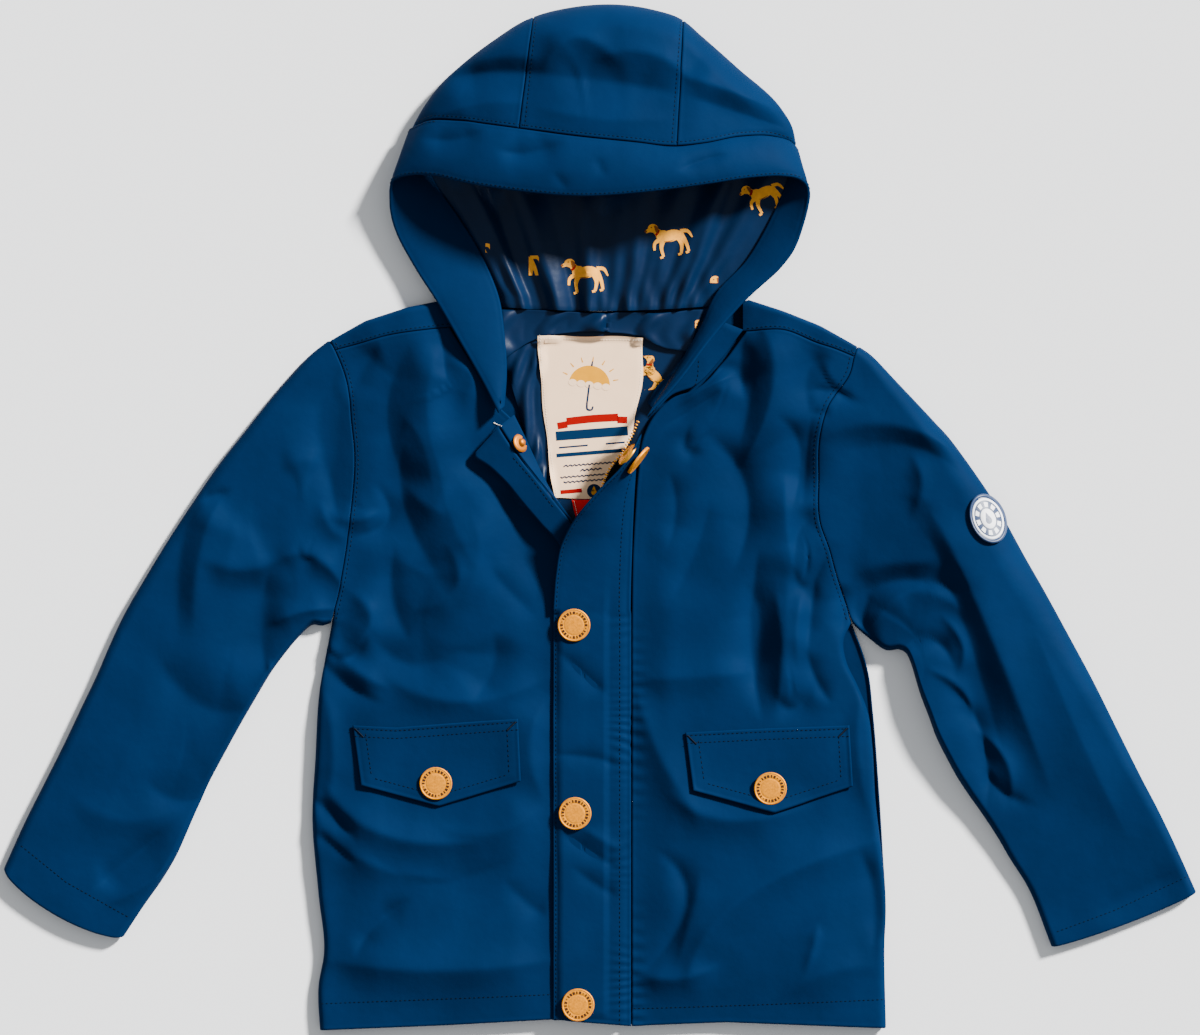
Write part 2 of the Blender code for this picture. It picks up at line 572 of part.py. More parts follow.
# ---------------------------------------------------------------- body
def front(name, side, armhole_table, zip_line, neck, shoulder):
    """A front: rows from its side edge to the zip, then from the armhole to the neckline."""
    upper_side = armhole(armhole_table)[SHOULDER_STEP:][::-1]
    length = np.append(0, np.cumsum(np.linalg.norm(np.diff(upper_side, axis=0), axis=1)))
    upper_inner = along(neck, length / length[-1])
    outer_edge = np.concatenate((along(side, LOWER_ROWS)[:-1], upper_side))
    inner_edge = np.concatenate((along(zip_line, LOWER_ROWS)[:-1], upper_inner))
    width = np.linalg.norm(inner_edge - outer_edge, axis=1)
    near = np.array((0.0, 1.2, 4.0))
    fractions = np.stack(
        [np.append(near / w, near[-1] / w + (1 - near[-1] / w) * LEVEL_COLUMNS) for w in width]
    )
    plan = between(outer_edge, inner_edge, fractions)
    hem_rows = soft_step((-250 - plan[..., 1]) / 85)
    hem = np.interp(plan[..., 0], *np.array(HEM).T)
    plan[..., 1] += hem_rows * (hem - plan[0, :, 1])
    # The last rows bend onto the shoulder seam.
    seam = along(shoulder, fractions[-1])
    lift = np.zeros(len(outer_edge))
    lift[-6:] = (0.1, 0.3, 0.55, 0.8, 0.95, 1.0)
    plan += lift[:, None, None] * (seam - plan[-1])[None]
    x, y = plan[..., 0], plan[..., 1]
    away = fractions * width[:, None]
    upper = np.append(np.zeros(len(LOWER_ROWS) - 1), length)
    folded = np.where(upper > 0, np.clip(1 - upper / 7, 0, 1), 1.0)[:, None]
    level = lying(x, y, TOP)
    rolled = EDGE + 0.15 + (level - EDGE - 0.15) * quarter(away / ROLL)
    height = level + folded * (rolled - level)
    grid = np.dstack((x, y, height))
    seams = ("first column", "last column", "last row")
    return wall(name, grid, CLOTH, seams=seams)


def back():
    """The back, from its hem on the floor to the neck, and over both shoulders."""
    right, left = armhole(ARMHOLE_RIGHT)[::-1], armhole(ARMHOLE_LEFT)[::-1]
    right_edge = np.concatenate((along(SIDE_RIGHT, LOWER_ROWS)[:-1], right))
    left_edge = np.concatenate((along(SIDE_LEFT, LOWER_ROWS)[:-1], left))
    inner = np.array((0.12, 0.18, 0.235, 0.36, 0.5, 0.66, 0.79, 0.84, 0.865, 0.9))
    width = np.linalg.norm(left_edge - right_edge, axis=1)
    near = np.array((0.0, 1.2, 4.5))
    fractions = np.stack([np.concatenate((near / w, inner, 1 - near[::-1] / w)) for w in width])
    plan = between(right_edge, left_edge, fractions)
    first_upper = len(LOWER_ROWS) - 1
    rise = (plan[:, 0, 1] - plan[first_upper, 0, 1]) / (plan[-1, 0, 1] - plan[first_upper, 0, 1])
    top = np.interp(plan[-1, :, 0], *np.array(BACK_TOP).T)
    bend = np.clip(rise, 0, 1)[:, None] ** 1.5
    plan[..., 1] += bend * (top - plan[-1, :, 1])[None]
    hem_rows = soft_step((-250 - plan[..., 1]) / 85)
    hem = np.interp(plan[..., 0], *np.array(HEM).T) + 1.0
    plan[..., 1] += hem_rows * (hem - plan[0, :, 1])
    away = np.minimum(fractions, 1 - fractions) * width[:, None]
    folded = np.clip(1 - np.arange(-first_upper, len(right)) / 2, 0, 1)[:, None]
    height = folded * (EDGE - 0.15) * (1 - quarter(away / ROLL))
    # Over the shoulders: the top rows roll up and forward to the shoulder seams.
    over = []
    crest = plan[-1]
    seam_x = crest[:, 0].copy()
    seam_x[[0, -1]] = SHOULDER_RIGHT[0][0], SHOULDER_LEFT[0][0]
    seam_x[[1, -2]] += 0.8 * (seam_x - crest[:, 0])[[0, -1]]
    seam_x[[2, -3]] += 0.5 * (seam_x - crest[:, 0])[[0, -1]]
    fine = np.linspace(0, 1, 60)
    seam_y = np.where(
        seam_x < 0,
        np.interp(seam_x, *along(SHOULDER_RIGHT, fine).T),
        np.interp(seam_x, *along(SHOULDER_LEFT, fine)[::-1].T),
    )
    for share, level in ((0.0, 0.5), (0.06, 0.82), (0.25, 1.0), (0.6, 1.0), (1.0, 1.0)):
        row_x = crest[:, 0] + (seam_x - crest[:, 0]) * share
        row_y = crest[:, 1] + (seam_y + SEAM - crest[:, 1]) * share
        target = lying(row_x, row_y, TOP)
        over.append(np.stack((row_x, row_y, target * level), axis=1))
    grid = np.dstack((plan, height))
    grid = np.concatenate((grid, np.array(over)))
    columns = grid.shape[1]
    shoulder = [j < 5 or j >= columns - 7 for j in range(columns - 1)]
    keep = [[True] * (columns - 1)] * (len(plan) - 1) + [shoulder] * len(over)
    return wall(
        "body_back", grid, CLOTH, inside=(0, 60, 4.0), keep=keep,
        seams=("first column", "last column", "last row"),
    )


# ---------------------------------------------------------------- sleeves
def sleeve(name, sections, armhole_table, away_from_body):
    """A sleeve as a flattened tube: a ring of points at each section."""
    table = np.array(sections)
    start = armhole(armhole_table)
    below = ACROSS[2:-2:2][::-1]
    rings = []
    for number, (ox, oy, ix, iy, bow, rise, rounding) in enumerate(table):
        outer, inner = np.array((ox, oy)), np.array((ix, iy))
        width = np.linalg.norm(inner - outer)
        side = np.array((-(inner - outer)[1], (inner - outer)[0])) / width * away_from_body
        line = outer + ACROSS[:, None] * (inner - outer)
        line = line + side * (bow * (4 * ACROSS * (1 - ACROSS)) ** 0.7)[:, None]
        share = soft_step(number / 5)
        bent = start + (outer - start[0]) * (1 - ACROSS)[:, None] + (inner - start[-1]) * ACROSS[:, None]
        line = line * share + bent * (1 - share)
        line[:, 0] += away_from_body * SEAM * (1 - share)
        x, y = line.T
        level = lying(x, y, rise)
        round_out = quarter(ACROSS * width / rounding)
        round_in = quarter((1 - ACROSS) * width / ROLL)
        top = EDGE + (level - EDGE) * round_out * round_in
        under = np.stack([np.interp(below, ACROSS, column) for column in (x, y)], axis=1)
        under[:, 0] += away_from_body * 1.2 * (1 - share)
        from_edge = np.minimum(below, 1 - below) * width
        bottom = EDGE * (1 - quarter(from_edge / ROLL))
        rings.append(
            np.concatenate((np.column_stack((x, y, top)), np.column_stack((under, bottom))))
        )
    grid = np.array(rings)
    middle = grid.mean(axis=(0, 1))
    return wall(name, grid, CLOTH, ring=True, inside=(middle[0], middle[1], 4.0), seams=("first row",))


# ---------------------------------------------------------------- hood
def crown_height(x, y, z):
    return z + relief(x, y, HOOD_FOLDS)


def hood_panel(name, start, stop, columns):
    """Part of the hood between two seams, from the crown over the outline to its foot."""

    def share(table, x):
        points = np.array(table, float)[:, :2]
        steps = np.linalg.norm(np.diff(points, axis=0), axis=1)
        place = np.append(0.0, np.cumsum(steps)) / steps.sum()
        return np.interp(x, points[:, 0], place)

    lines = []
    for number, table in enumerate((CROWN_SEAM, HOOD_OUTLINE, HOOD_FOOT)):
        first = 0.0 if start is None else share(table, start[number] + SEAM / 2)
        last = 1.0 if stop is None else share(table, stop[number] - SEAM / 2)
        lines.append(along(table, np.linspace(first, last, columns)))
    crown, outline, foot = lines
    rows = []
    reach = np.linalg.norm(outline - crown[:, :2], axis=1)
    for part in (0.0, 0.16, 0.33, 0.5, 0.66, 0.8, 0.9, 0.97, 1.0):
        plan = crown[:, :2] + (outline - crown[:, :2]) * part
        level = crown_height(plan[:, 0], plan[:, 1], crown[:, 2] - 0.12 * reach * part)
        rounding = np.clip(1.2 * (crown[:, 2] - HOOD_EDGE), 4.0, HOOD_ROLL)
        height = HOOD_EDGE + (level - HOOD_EDGE) * quarter(reach * (1 - part) / rounding)
        rows.append(np.column_stack((plan, height)))
    reach = np.linalg.norm(foot - outline, axis=1)
    for part in (0.012, 0.04, 0.11, 0.3, 0.53, 0.77, 1.0):
        plan = outline + (foot - outline) * part
        rows.append(np.column_stack((plan, HOOD_EDGE * (1 - quarter(reach * part / HOOD_UNDER)))))
    return wall(name, np.array(rows), CLOTH, inside=(0, 235, 10.0))


def hood_band():
    """The face band: a doubled strip that turns over at both corners of the opening."""
    table = np.array(FACE_BAND)
    lines = along(table, np.linspace(0, 1, 46))
    at = np.linspace(0, 1, 5)
    grid = between(lines[:, :3], lines[:, 3:], at)
    over = np.clip(lines[:, 5] - 12, 0, 12) / 12
    grid[..., 2] += (4 * at * (1 - at))[None, :] * (1.5 + 2.0 * over)[:, None]
    grid[..., 2] += relief(grid[..., 0], grid[..., 1], HOOD_FOLDS[2:]) * over[:, None]
    return wall("hood_band", grid, CLOTH, inside=(0, 235, 14.0), centred=True)


def hood_base(name, table):
    lines = along(np.array(table), np.linspace(0, 1, 7))
    at = np.linspace(0, 1, 3)
    plan = between(lines[:, :2], lines[:, 2:], at)
    height = lying(plan[..., 0], plan[..., 1], TOP) + 1.0 * at[None, :]
    return wall(name, np.dstack((plan, height)), CLOTH)


def hood_lining():
    """The lining of the hood's back, gathered into the neck seam."""
    inset = 1.8
    foot = np.array(HOOD_FOOT, float)
    rows = []
    for part in (0.0, 0.07, 0.16, 0.27, 0.4, 0.55, 0.75, 1.0):
        level = 139.5 + 150 * part
        if level <= foot[0][1]:
            right = np.interp(level, foot[:5, 1][::-1], foot[:5, 0][::-1])
            left = np.interp(level, foot[11:, 1], foot[11:, 0])
        else:
            right = np.interp(level, (foot[0][1], 300), (foot[0][0], -72))
            left = np.interp(level, (foot[-1][1], 300), (foot[-1][0], 74))
        x = np.linspace(right + inset, left - inset, 29)
        dip = 3.0 * (1 - (x / 70) ** 2) * (1 - part)
        # Gathers fan out from the neck as the lining widens.
        spread = (left - right) / 130
        wave = np.zeros(len(x))
        for place, width, height, far in GATHERS:
            fade = soft_step((far - part) / 0.35 + 0.3)
            wave += height * fade * np.exp(-(((x / spread) - place) / width) ** 2)
        edge = soft_step(np.minimum(x - right - inset, left - inset - x) / 8)
        y = np.full(len(x), level) - dip
        rows.append(np.column_stack((x, y, 3.4 + np.maximum(wave, 0) * edge)))
    return wall("hood_lining", np.array(rows), LINED, thick=THIN)


# ---------------------------------------------------------------- neck opening
def neck_facing():
    lines = along(np.array(FACING), np.linspace(0, 1, 22))
    at = np.linspace(0, 1, 4)
    plan = between(lines[:, 2:], lines[:, :2], at)
    x = plan[..., 0]
    folds = 1.6 * np.cos(x / 5.2) + 1.2 * np.cos(x / 8.7 + 1.0)
    height = 6.0 + np.maximum(folds, -1.0) * (4 * at * (1 - at))[None, :]
    plan[..., 1] -= 3.2 * at[None, :]
    return wall("neck_facing", np.dstack((plan, height)), LINED, thick=THIN)


def back_lining():
    lines = along(np.array(LINING_SHOWN), np.linspace(0, 1, 10))
    at = np.linspace(0, 1, 4)
    plan = between(lines[:, :2], lines[:, 2:], at)
    height = np.full(plan.shape[:2], 3.4)
    return wall("back_lining", np.dstack((plan, height)), LINED, thick=THIN)


def label():
    lines = along(np.array(LABEL_EDGES), np.linspace(0, 1, 7))
    at = np.linspace(0, 1, 5)
    plan = between(lines[:, :2], lines[:, 2:], at)
    level = height_over(("back_lining", "neck_facing"), plan[..., 0], plan[..., 1], reach=4.5)
    return wall("label", np.dstack((plan, level + LAY + THIN)), (CREAM, 0.8), thick=THIN)


def small_tag():
    lines = along(np.array(TAG_EDGES), np.linspace(0, 1, 4))
    at = np.linspace(0, 1, 3)
    plan = between(lines[:, :2], lines[:, 2:], at)
    level = height_over(("back_lining",), plan[..., 0], plan[..., 1])
    return wall("small_tag", np.dstack((plan, level + LAY + THIN)), (RED, 0.7), thick=THIN)


def placket():
    """The gutter strip and its turned-back edge, on down the right front to the hem."""
    table = np.array(PLACKET)
    down = np.linspace(-75, -326, 10)
    on_front = []
    for y in down:
        row = []
        for x in (1.5, -10.5, -23.5):
            level = float(height_over(("right_front",), np.array([x]), np.array([y]))[0])
            row += [x, y, max(level, TOP) + LAY + THIN / 2 + 0.2]
        on_front.append(row)
    table = np.concatenate((table, on_front))
    at = np.linspace(0, 1, 3)
    lines = np.concatenate((along(table[:8], np.linspace(0, 1, 15)), table[8:]))
    edge, roll, free = lines[:, :3], lines[:, 3:6], lines[:, 6:]
    apart = (free - roll) / np.linalg.norm(free - roll, axis=1, keepdims=True)
    back_edge = roll + apart * (THIN + SEAM)
    strip = between(edge, roll, at)
    turn = between(back_edge, free, at)
    wall("placket_strip", strip, CLOTH, thick=THIN + 0.2, centred=True)
    wall("placket_turnback", turn, CLOTH, thick=THIN + 0.2, centred=True)


def zip_tapes():
    at = np.linspace(0, 1, 3)
    down = np.linspace(-333, -82, 9)
    plain = [(20.2, y, 6.0, 12.0, y, 6.0) for y in down]
    top = along(np.array(TAPE_LEFT_TOP), np.linspace(0, 1, 13))
    lines = np.concatenate((np.array(plain), top))
    grid = between(lines[:, :3], lines[:, 3:], at)
    wall("zip_tape_left", grid, (SATIN, 0.6), thick=THIN, centred=True)
    down = np.linspace(-330, -42, 10)
    lines = np.array([(2.8, y, 6.0, 11.0, y, 6.0) for y in down])
    grid = between(lines[:, :3], lines[:, 3:], at)
    wall("zip_tape_right", grid, (SATIN, 0.6), thick=THIN, centred=True)


def storm_flap():
    """The flap over the zip: flat on both fronts, its top turned up on its edge."""
    at = np.array((0.0, 0.13, 0.3, 0.53, 0.77, 1.0))
    down = np.linspace(-335, -82, 13)
    seam_x = np.interp(down, (-335, -61), (19.4, 20.2))
    free_x = np.interp(down, (-335, -61), (-31.0, -31.0))
    seam = np.column_stack((seam_x, down))
    free = np.column_stack((free_x, down + np.interp(down, (-335, -300), (4.0, 0.0))))
    plan = between(seam, free, at)
    under = ("right_front", "placket_strip", "placket_turnback", "zip_slider", "zip_tape_right")
    level = height_over(under, plan[..., 0], plan[..., 1], reach=4.0) + LAY + 0.3 + DOUBLE
    level = np.maximum(level, 11.9)
    level[:, 0] = 9.5
    lower = np.dstack((plan, level))
    top = along(np.array(FLAP_TOP), np.linspace(0, 1, 14))
    upper = between(top[:, :3], top[:, 3:], at)
    sag = np.clip(top[:, 5] - top[:, 2], 0, 12)[:, None] * (at * (1 - at))[None, :]
    upper[..., 2] -= 0.6 * sag
    clear = height_over(under[:4], upper[..., 0], upper[..., 1], reach=6.5) + LAY + 0.3 + DOUBLE
    clear[:, 0] = 0.0
    upper[..., 2] = np.maximum(upper[..., 2], clear)
    grid = np.concatenate((lower, upper))
    return wall("storm_flap", grid, CLOTH, thick=DOUBLE, inside=(-400, 0, -1000))


# ---------------------------------------------------------------- on the panels
def pocket_flap(name, on, upper, lower):
    at = np.linspace(0, 1, 11)
    down = np.linspace(0, 1, 6)
    plan = between(straight(upper, at), straight(lower, at), down)
    rest = height_over((on,), plan[..., 0], plan[..., 1], reach=4.0)
    level = rest + LAY + DOUBLE + 1.0 * (down**2)[None, :]
    return wall(name, np.dstack((plan, level)), CLOTH, thick=DOUBLE)


CAP = (
    (0.0, 0.0), (0.5 * SNAP, 0.0), (0.5 * SNAP, 0.9), (0.47 * SNAP, 1.5), (0.34 * SNAP, 1.9),
    (0.32 * SNAP, 1.6), (0.2 * SNAP, 1.7), (0.0, 1.8),
)


def snap_on(name, on, place):
    x = place[0] + np.array((0, 8, 4, -4, -8, -4, 4, 0.0))
    y = place[1] + np.array((0, 0, 7, 7, 0, -7, -7, 0.0))
    level = height_over((on,), x, y, reach=3.5).max()
    return turned(name, CAP, (place[0], place[1], level + 0.3), (COPPER, 0.3, 1.0))


def neck_snap():
    """The top snap, open: its cap and socket on the upright flap, its stud on the strip."""
    along_edge = math.radians(-38)  # the flap's free edge runs aslant there
    turned(
        "neck_snap_cap", CAP, (26.6, 39.2, 27.0), (COPPER, 0.3, 1.0),
        lean=math.radians(84), heading=along_edge,
    )
    socket = ((0.0, 0.0), (8.5, 0.0), (8.5, 1.2), (6.0, 2.2), (3.0, 2.4), (2.6, 1.0), (0.0, 1.0))
    turned(
        "neck_snap_socket", socket, (14.6, 42.4, 34.0), (BRASS, 0.3, 1.0),
        lean=math.radians(-74), heading=along_edge,
    )
    stud = ((0.0, 0.0), (6.2, 0.0), (6.2, 0.8), (3.0, 1.2), (2.6, 3.0), (1.8, 3.6), (0.0, 3.7))
    turned(
        "neck_snap_stud", stud, (-52.2, 49.4, 20.2), (BRASS, 0.3, 1.0),
        sides=16, lean=math.radians(46), heading=math.radians(24),
    )


def zip_slider():
    """The slider at the foot of the opened stretch, under the flap."""
    body = ((0.0, 0.0), (4.2, 0.0), (4.6, 0.6), (4.6, 1.8), (3.4, 2.4), (0.0, 2.4))
    turned("zip_slider", body, (10.6, -50.0, 6.9), (BRASS, 0.35, 1.0), sides=16)


def sleeve_badge():
    """A soft moulded badge that follows the round of the sleeve."""
    rings = (0.15, 0.5, 0.86, 1.0)
    turns = np.linspace(0, 2 * math.pi, 22, endpoint=False)
    cos_turn, sin_turn = math.cos(BADGE_TURN), math.sin(BADGE_TURN)
    across, tall = BADGE
    points, faces = [], []
    size = len(turns)
    for radius in rings:
        px, py = radius * across * np.cos(turns), radius * tall * np.sin(turns)
        x = BADGE_PLACE[0] + px * cos_turn + py * sin_turn * -1
        y = BADGE_PLACE[1] + px * sin_turn + py * cos_turn
        # It reaches a little past the sleeve's outer fold and bends down with it.
        level = np.maximum(height_over(("sleeve_left",), x, y, reach=1.8), 5.0) + 0.4
        points.append((x, y, level))
    low = np.stack([np.column_stack(ring) for ring in points])
    high = low + np.array((0, 0, 1.0)) * np.array((1.8, 1.8, 2.1, 1.4))[:, None, None]
    both = np.concatenate((low.reshape(-1, 3), high.reshape(-1, 3)))
    count = len(rings) * size
    for ring in range(len(rings) - 1):
        for k in range(size):
            a, b = ring * size + k, ring * size + (k + 1) % size
            c, d = b + size, a + size
            faces += [(a, b, c, d), (a + count, d + count, c + count, b + count)]
    for k in range(size):
        a, b = (len(rings) - 1) * size + k, (len(rings) - 1) * size + (k + 1) % size
        faces.append((a, b, b + count, a + count))
    faces.append(tuple(range(size))[::-1])
    faces.append(tuple(range(count, count + size)))
    return piece("sleeve_badge", both, faces, ((0.01, 0.03, 0.09), 0.6))


# ---------------------------------------------------------------- the coat
for old in list(bpy.data.objects):
    bpy.data.objects.remove(old, do_unlink=True)

back()
front("right_front", SIDE_RIGHT, ARMHOLE_RIGHT, ZIP_RIGHT, NECK_RIGHT, SHOULDER_RIGHT)
front("left_front", SIDE_LEFT_FRONT, ARMHOLE_LEFT, ZIP_LEFT, NECK_LEFT, SHOULDER_LEFT)
sleeve("sleeve_right", SLEEVE_RIGHT, ARMHOLE_RIGHT, -1)
sleeve("sleeve_left", SLEEVE_LEFT, ARMHOLE_LEFT, 1)
hood_panel("hood_side_right", None, CENTRE_SEAMS[0], 8)
hood_panel("hood_centre", CENTRE_SEAMS[0], CENTRE_SEAMS[1], 8)
hood_panel("hood_side_left", CENTRE_SEAMS[1], None, 8)
hood_band()
hood_base("hood_base_right", BASE_RIGHT)
hood_base("hood_base_left", BASE_LEFT)
hood_lining()
neck_facing()
back_lining()
label()
small_tag()
placket()
zip_tapes()
zip_slider()
storm_flap()
pocket_flap("pocket_flap_right", "right_front", *POCKET_RIGHT)
pocket_flap("pocket_flap_left", "left_front", *POCKET_LEFT)
for number, place in enumerate(FLAP_SNAPS, 1):
    snap_on(f"flap_snap_{number}", "storm_flap", place)
for side, place in POCKET_SNAPS.items():
    snap_on(f"pocket_snap_{side}", f"pocket_flap_{side}", place)
neck_snap()
sleeve_badge()
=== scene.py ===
# %% [markdown]
# # A child's hooded raincoat, laid flat
# The coat lies on its back with its front up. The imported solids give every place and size,
# and the cells below make the cloth that is seen: thin shells with soft edges and creases,
# sewn with real stitches, and the small metal and rubber parts on them.
# +X is the wearer's left, +Y runs from the hem to the hood and +Z is up from the floor.

# %% The frame
import json
import math

import bpy
import numpy as np
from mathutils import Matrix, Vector
from mathutils.bvhtree import BVHTree
from mathutils.kdtree import KDTree

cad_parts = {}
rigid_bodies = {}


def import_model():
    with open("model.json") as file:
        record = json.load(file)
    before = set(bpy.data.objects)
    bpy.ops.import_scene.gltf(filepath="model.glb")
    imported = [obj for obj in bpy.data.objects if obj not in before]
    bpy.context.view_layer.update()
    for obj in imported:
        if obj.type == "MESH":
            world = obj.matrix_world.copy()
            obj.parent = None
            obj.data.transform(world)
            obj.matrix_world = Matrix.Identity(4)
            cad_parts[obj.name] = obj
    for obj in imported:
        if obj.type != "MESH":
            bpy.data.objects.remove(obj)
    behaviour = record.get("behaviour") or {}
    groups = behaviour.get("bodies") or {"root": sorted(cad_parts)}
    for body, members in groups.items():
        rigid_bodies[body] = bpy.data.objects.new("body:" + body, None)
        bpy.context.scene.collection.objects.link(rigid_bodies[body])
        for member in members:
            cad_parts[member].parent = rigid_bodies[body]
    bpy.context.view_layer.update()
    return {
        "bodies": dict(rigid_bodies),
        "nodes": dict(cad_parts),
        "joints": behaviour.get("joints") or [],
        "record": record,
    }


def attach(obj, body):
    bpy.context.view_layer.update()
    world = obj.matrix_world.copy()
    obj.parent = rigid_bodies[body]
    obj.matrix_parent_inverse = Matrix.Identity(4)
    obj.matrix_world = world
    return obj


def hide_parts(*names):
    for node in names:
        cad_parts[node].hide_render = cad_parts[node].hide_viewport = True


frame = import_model()

# %% [markdown]
# ## Driving sizes
# Lengths are in millimetres until a mesh is made, because a maker of clothes thinks in
# millimetres. The sizes below repeat those of the solids, so that each shell lies on the
# form of its own solid.

# %% Driving sizes
MM = 0.001
WALL = 2.0  # coated cloth with its lining
THIN = 0.8  # satin, tape and label
DOUBLE = 2.4  # doubled and topstitched cloth
FLAP_THICK = 1.6  # doubled cloth of the flaps, pressed flat
SEAM = 0.12  # gap along a seam, where both edges roll in
LAY = 0.4  # clearance under a piece that lies on another
TOP = 8.0  # top of a front
LOWEST = 4.0  # the lowest that a crease presses a front or a sleeve
EDGE = 3.5  # height of the side folds
ROLL = 4.5  # how far in from a side fold the cloth is rounded
SNAP = 21.6  # across a snap's cap
HOOD_EDGE = 8.0  # height of the hood's outline
HOOD_ROLL = 18.0  # how far in the hood's upper side is rounded, at most
HOOD_UNDER = 7.0  # how far in its underside is rounded
LOFT = 3.0  # how far the body's middle stands up, over the layers inside it
SHARP = 1.3  # shape of a crease across its line: 1 is a sharp fold, 2 a soft bell
STRENGTH = 1.3  # how strongly all creases stand out
STEEPEST = 0.66  # the most that a crease rises, as a share of its narrower side
NEAR = np.array((0.0, 0.35, 0.9, 1.7, 2.6, 3.6))  # rows close to an edge, for its roll

# %% [markdown]
# ## Smooth lines and round edges
# Cloth has hardly a straight line in it. A short table of places is made into a smooth line
# with Hermite curves: each row's slope is taken from its neighbours.
# `quarter` is a quarter round, which is what a folded or sewn edge looks like in section.


# %% Smooth lines
def length_along(points):
    """How far along a line each of its points is."""
    return np.append(0.0, np.cumsum(np.linalg.norm(np.diff(points, axis=0), axis=1)))


def along(table, at, by_row=False):
    """Points at the fractions `at` of a smooth line through the rows of a table."""
    points = np.array(table, float)
    gone = np.arange(len(points)) if by_row else length_along(points)
    place = gone / gone[-1]
    slope = np.gradient(points, place, axis=0)
    at = np.atleast_1d(at)
    k = np.clip(np.searchsorted(place, at, side="right") - 1, 0, len(points) - 2)
    span = (place[k + 1] - place[k])[:, None]
    t = (at - place[k])[:, None] / span
    through = points[k] * (1 + 2 * t) * (1 - t) ** 2 + points[k + 1] * t * t * (3 - 2 * t)
    return through + span * t * (1 - t) * (slope[k] * (1 - t) - slope[k + 1] * t)


def straight(table, at):
    """Points at the fractions `at` of the length of a line with straight runs."""
    points = np.array(table, float)
    gone = length_along(points)
    return np.stack([np.interp(at, gone / gone[-1], column) for column in points.T], axis=1)


def quarter(t):
    return np.sqrt(1 - (1 - np.clip(t, 0, 1)) ** 2)


def soft_step(t):
    t = np.clip(t, 0, 1)
    return t * t * (3 - 2 * t)


def between(first, last, at):
    """Rows of points from each point of one line to its partner on another."""
    at = np.asarray(at, float)
    if at.ndim == 1:
        at = np.broadcast_to(at, (len(first), len(at)))
    return first[:, None, :] + (last - first)[:, None, :] * at[:, :, None]


def spaced(width, step, near=NEAR):
    """Fractions across each of several widths: close at both edges, then about a step apart."""
    width = np.atleast_1d(np.asarray(width, float))
    count = int(round(width.max() / step))
    inner = np.linspace(0, 1, count + 1)[1:-1]
    rows = []
    for w in width:
        edge = near / w
        rows.append(np.concatenate((edge, edge[-1] + (1 - 2 * edge[-1]) * inner, 1 - edge[::-1])))
    return np.stack(rows)


# %% [markdown]
# ## Creases
# A lying coat shows troughs, ridges and puckers, each on its own line. One row of a crease
# table is the start, middle and end of that line, how wide the crease is on its left and on
# its right, seen along the run, and its height, negative for a trough. Different widths
# give one steep and one gentle side, as in real cloth, and both ends taper to a point.


# %% How a crease lifts the cloth
def crease_height(x, y, creases):
    height = np.zeros(np.shape(x))
    t = np.linspace(-0.1, 1.1, 41)[:, None]
    for x0, y0, xm, ym, x1, y1, left, right, rise in creases:
        longest = math.hypot(xm - x0, ym - y0) + math.hypot(x1 - xm, y1 - ym)
        most = min(STEEPEST * min(left, right), 0.1 * longest)
        rise = math.copysign(min(STRENGTH * abs(rise), most), rise)
        start, stop = np.array((x0, y0), float), np.array((x1, y1), float)
        turn = 2 * np.array((xm, ym)) - (start + stop) / 2
        line = start * (1 - t) ** 2 + 2 * turn * t * (1 - t) + stop * t * t
        reach = 3.8 * max(left, right)
        low, high = line.min(axis=0) - reach, line.max(axis=0) + reach
        near = (x > low[0]) & (x < high[0]) & (y > low[1]) & (y < high[1])
        if not near.any():
            continue
        slope = np.gradient(line, axis=0)
        blend = max(2.0, 1.3 * np.hypot(*slope.T).max())
        dx, dy = x[near][:, None] - line[:, 0], y[near][:, None] - line[:, 1]
        gone = dx * dx + dy * dy
        least = gone.min(axis=1, keepdims=True)
        share = np.exp((least - gone) / (blend**2 + 0.12 * least))
        share /= share.sum(axis=1, keepdims=True)
        dx, dy, ux, uy, place = ((share * part).sum(axis=1) for part in (dx, dy, *slope.T, t.T))
        taper = soft_step((place + 0.1) / 0.42) * soft_step((1.1 - place) / 0.42)
        width = np.where(ux * dy - uy * dx > 0, left, right) * (0.35 + 0.65 * taper)
        height[near] += rise * taper * np.exp(-((np.hypot(dx, dy) / width) ** SHARP))
    return height


def swell(x, y):
    """The low, broad unevenness of cloth that was only smoothed by hand."""
    broad = np.sin(x / 31 + 0.6 + 0.7 * np.sin(y / 43)) * np.sin(y / 37 + 1.1)
    small = np.sin(x / 13.3 + y / 21.7 + 2.0) * np.sin(y / 16.1 - x / 29.0)
    return 0.6 * broad + 0.25 * small


# %% [markdown]
# ## Creases of the body and the sleeves
# The tables are laid out piece by piece. Both fronts pull towards the open neck, the sleeves
# are creased where they turn down from the shoulders, and the left one stands up in a long
# soft tube with a deep diagonal trough.

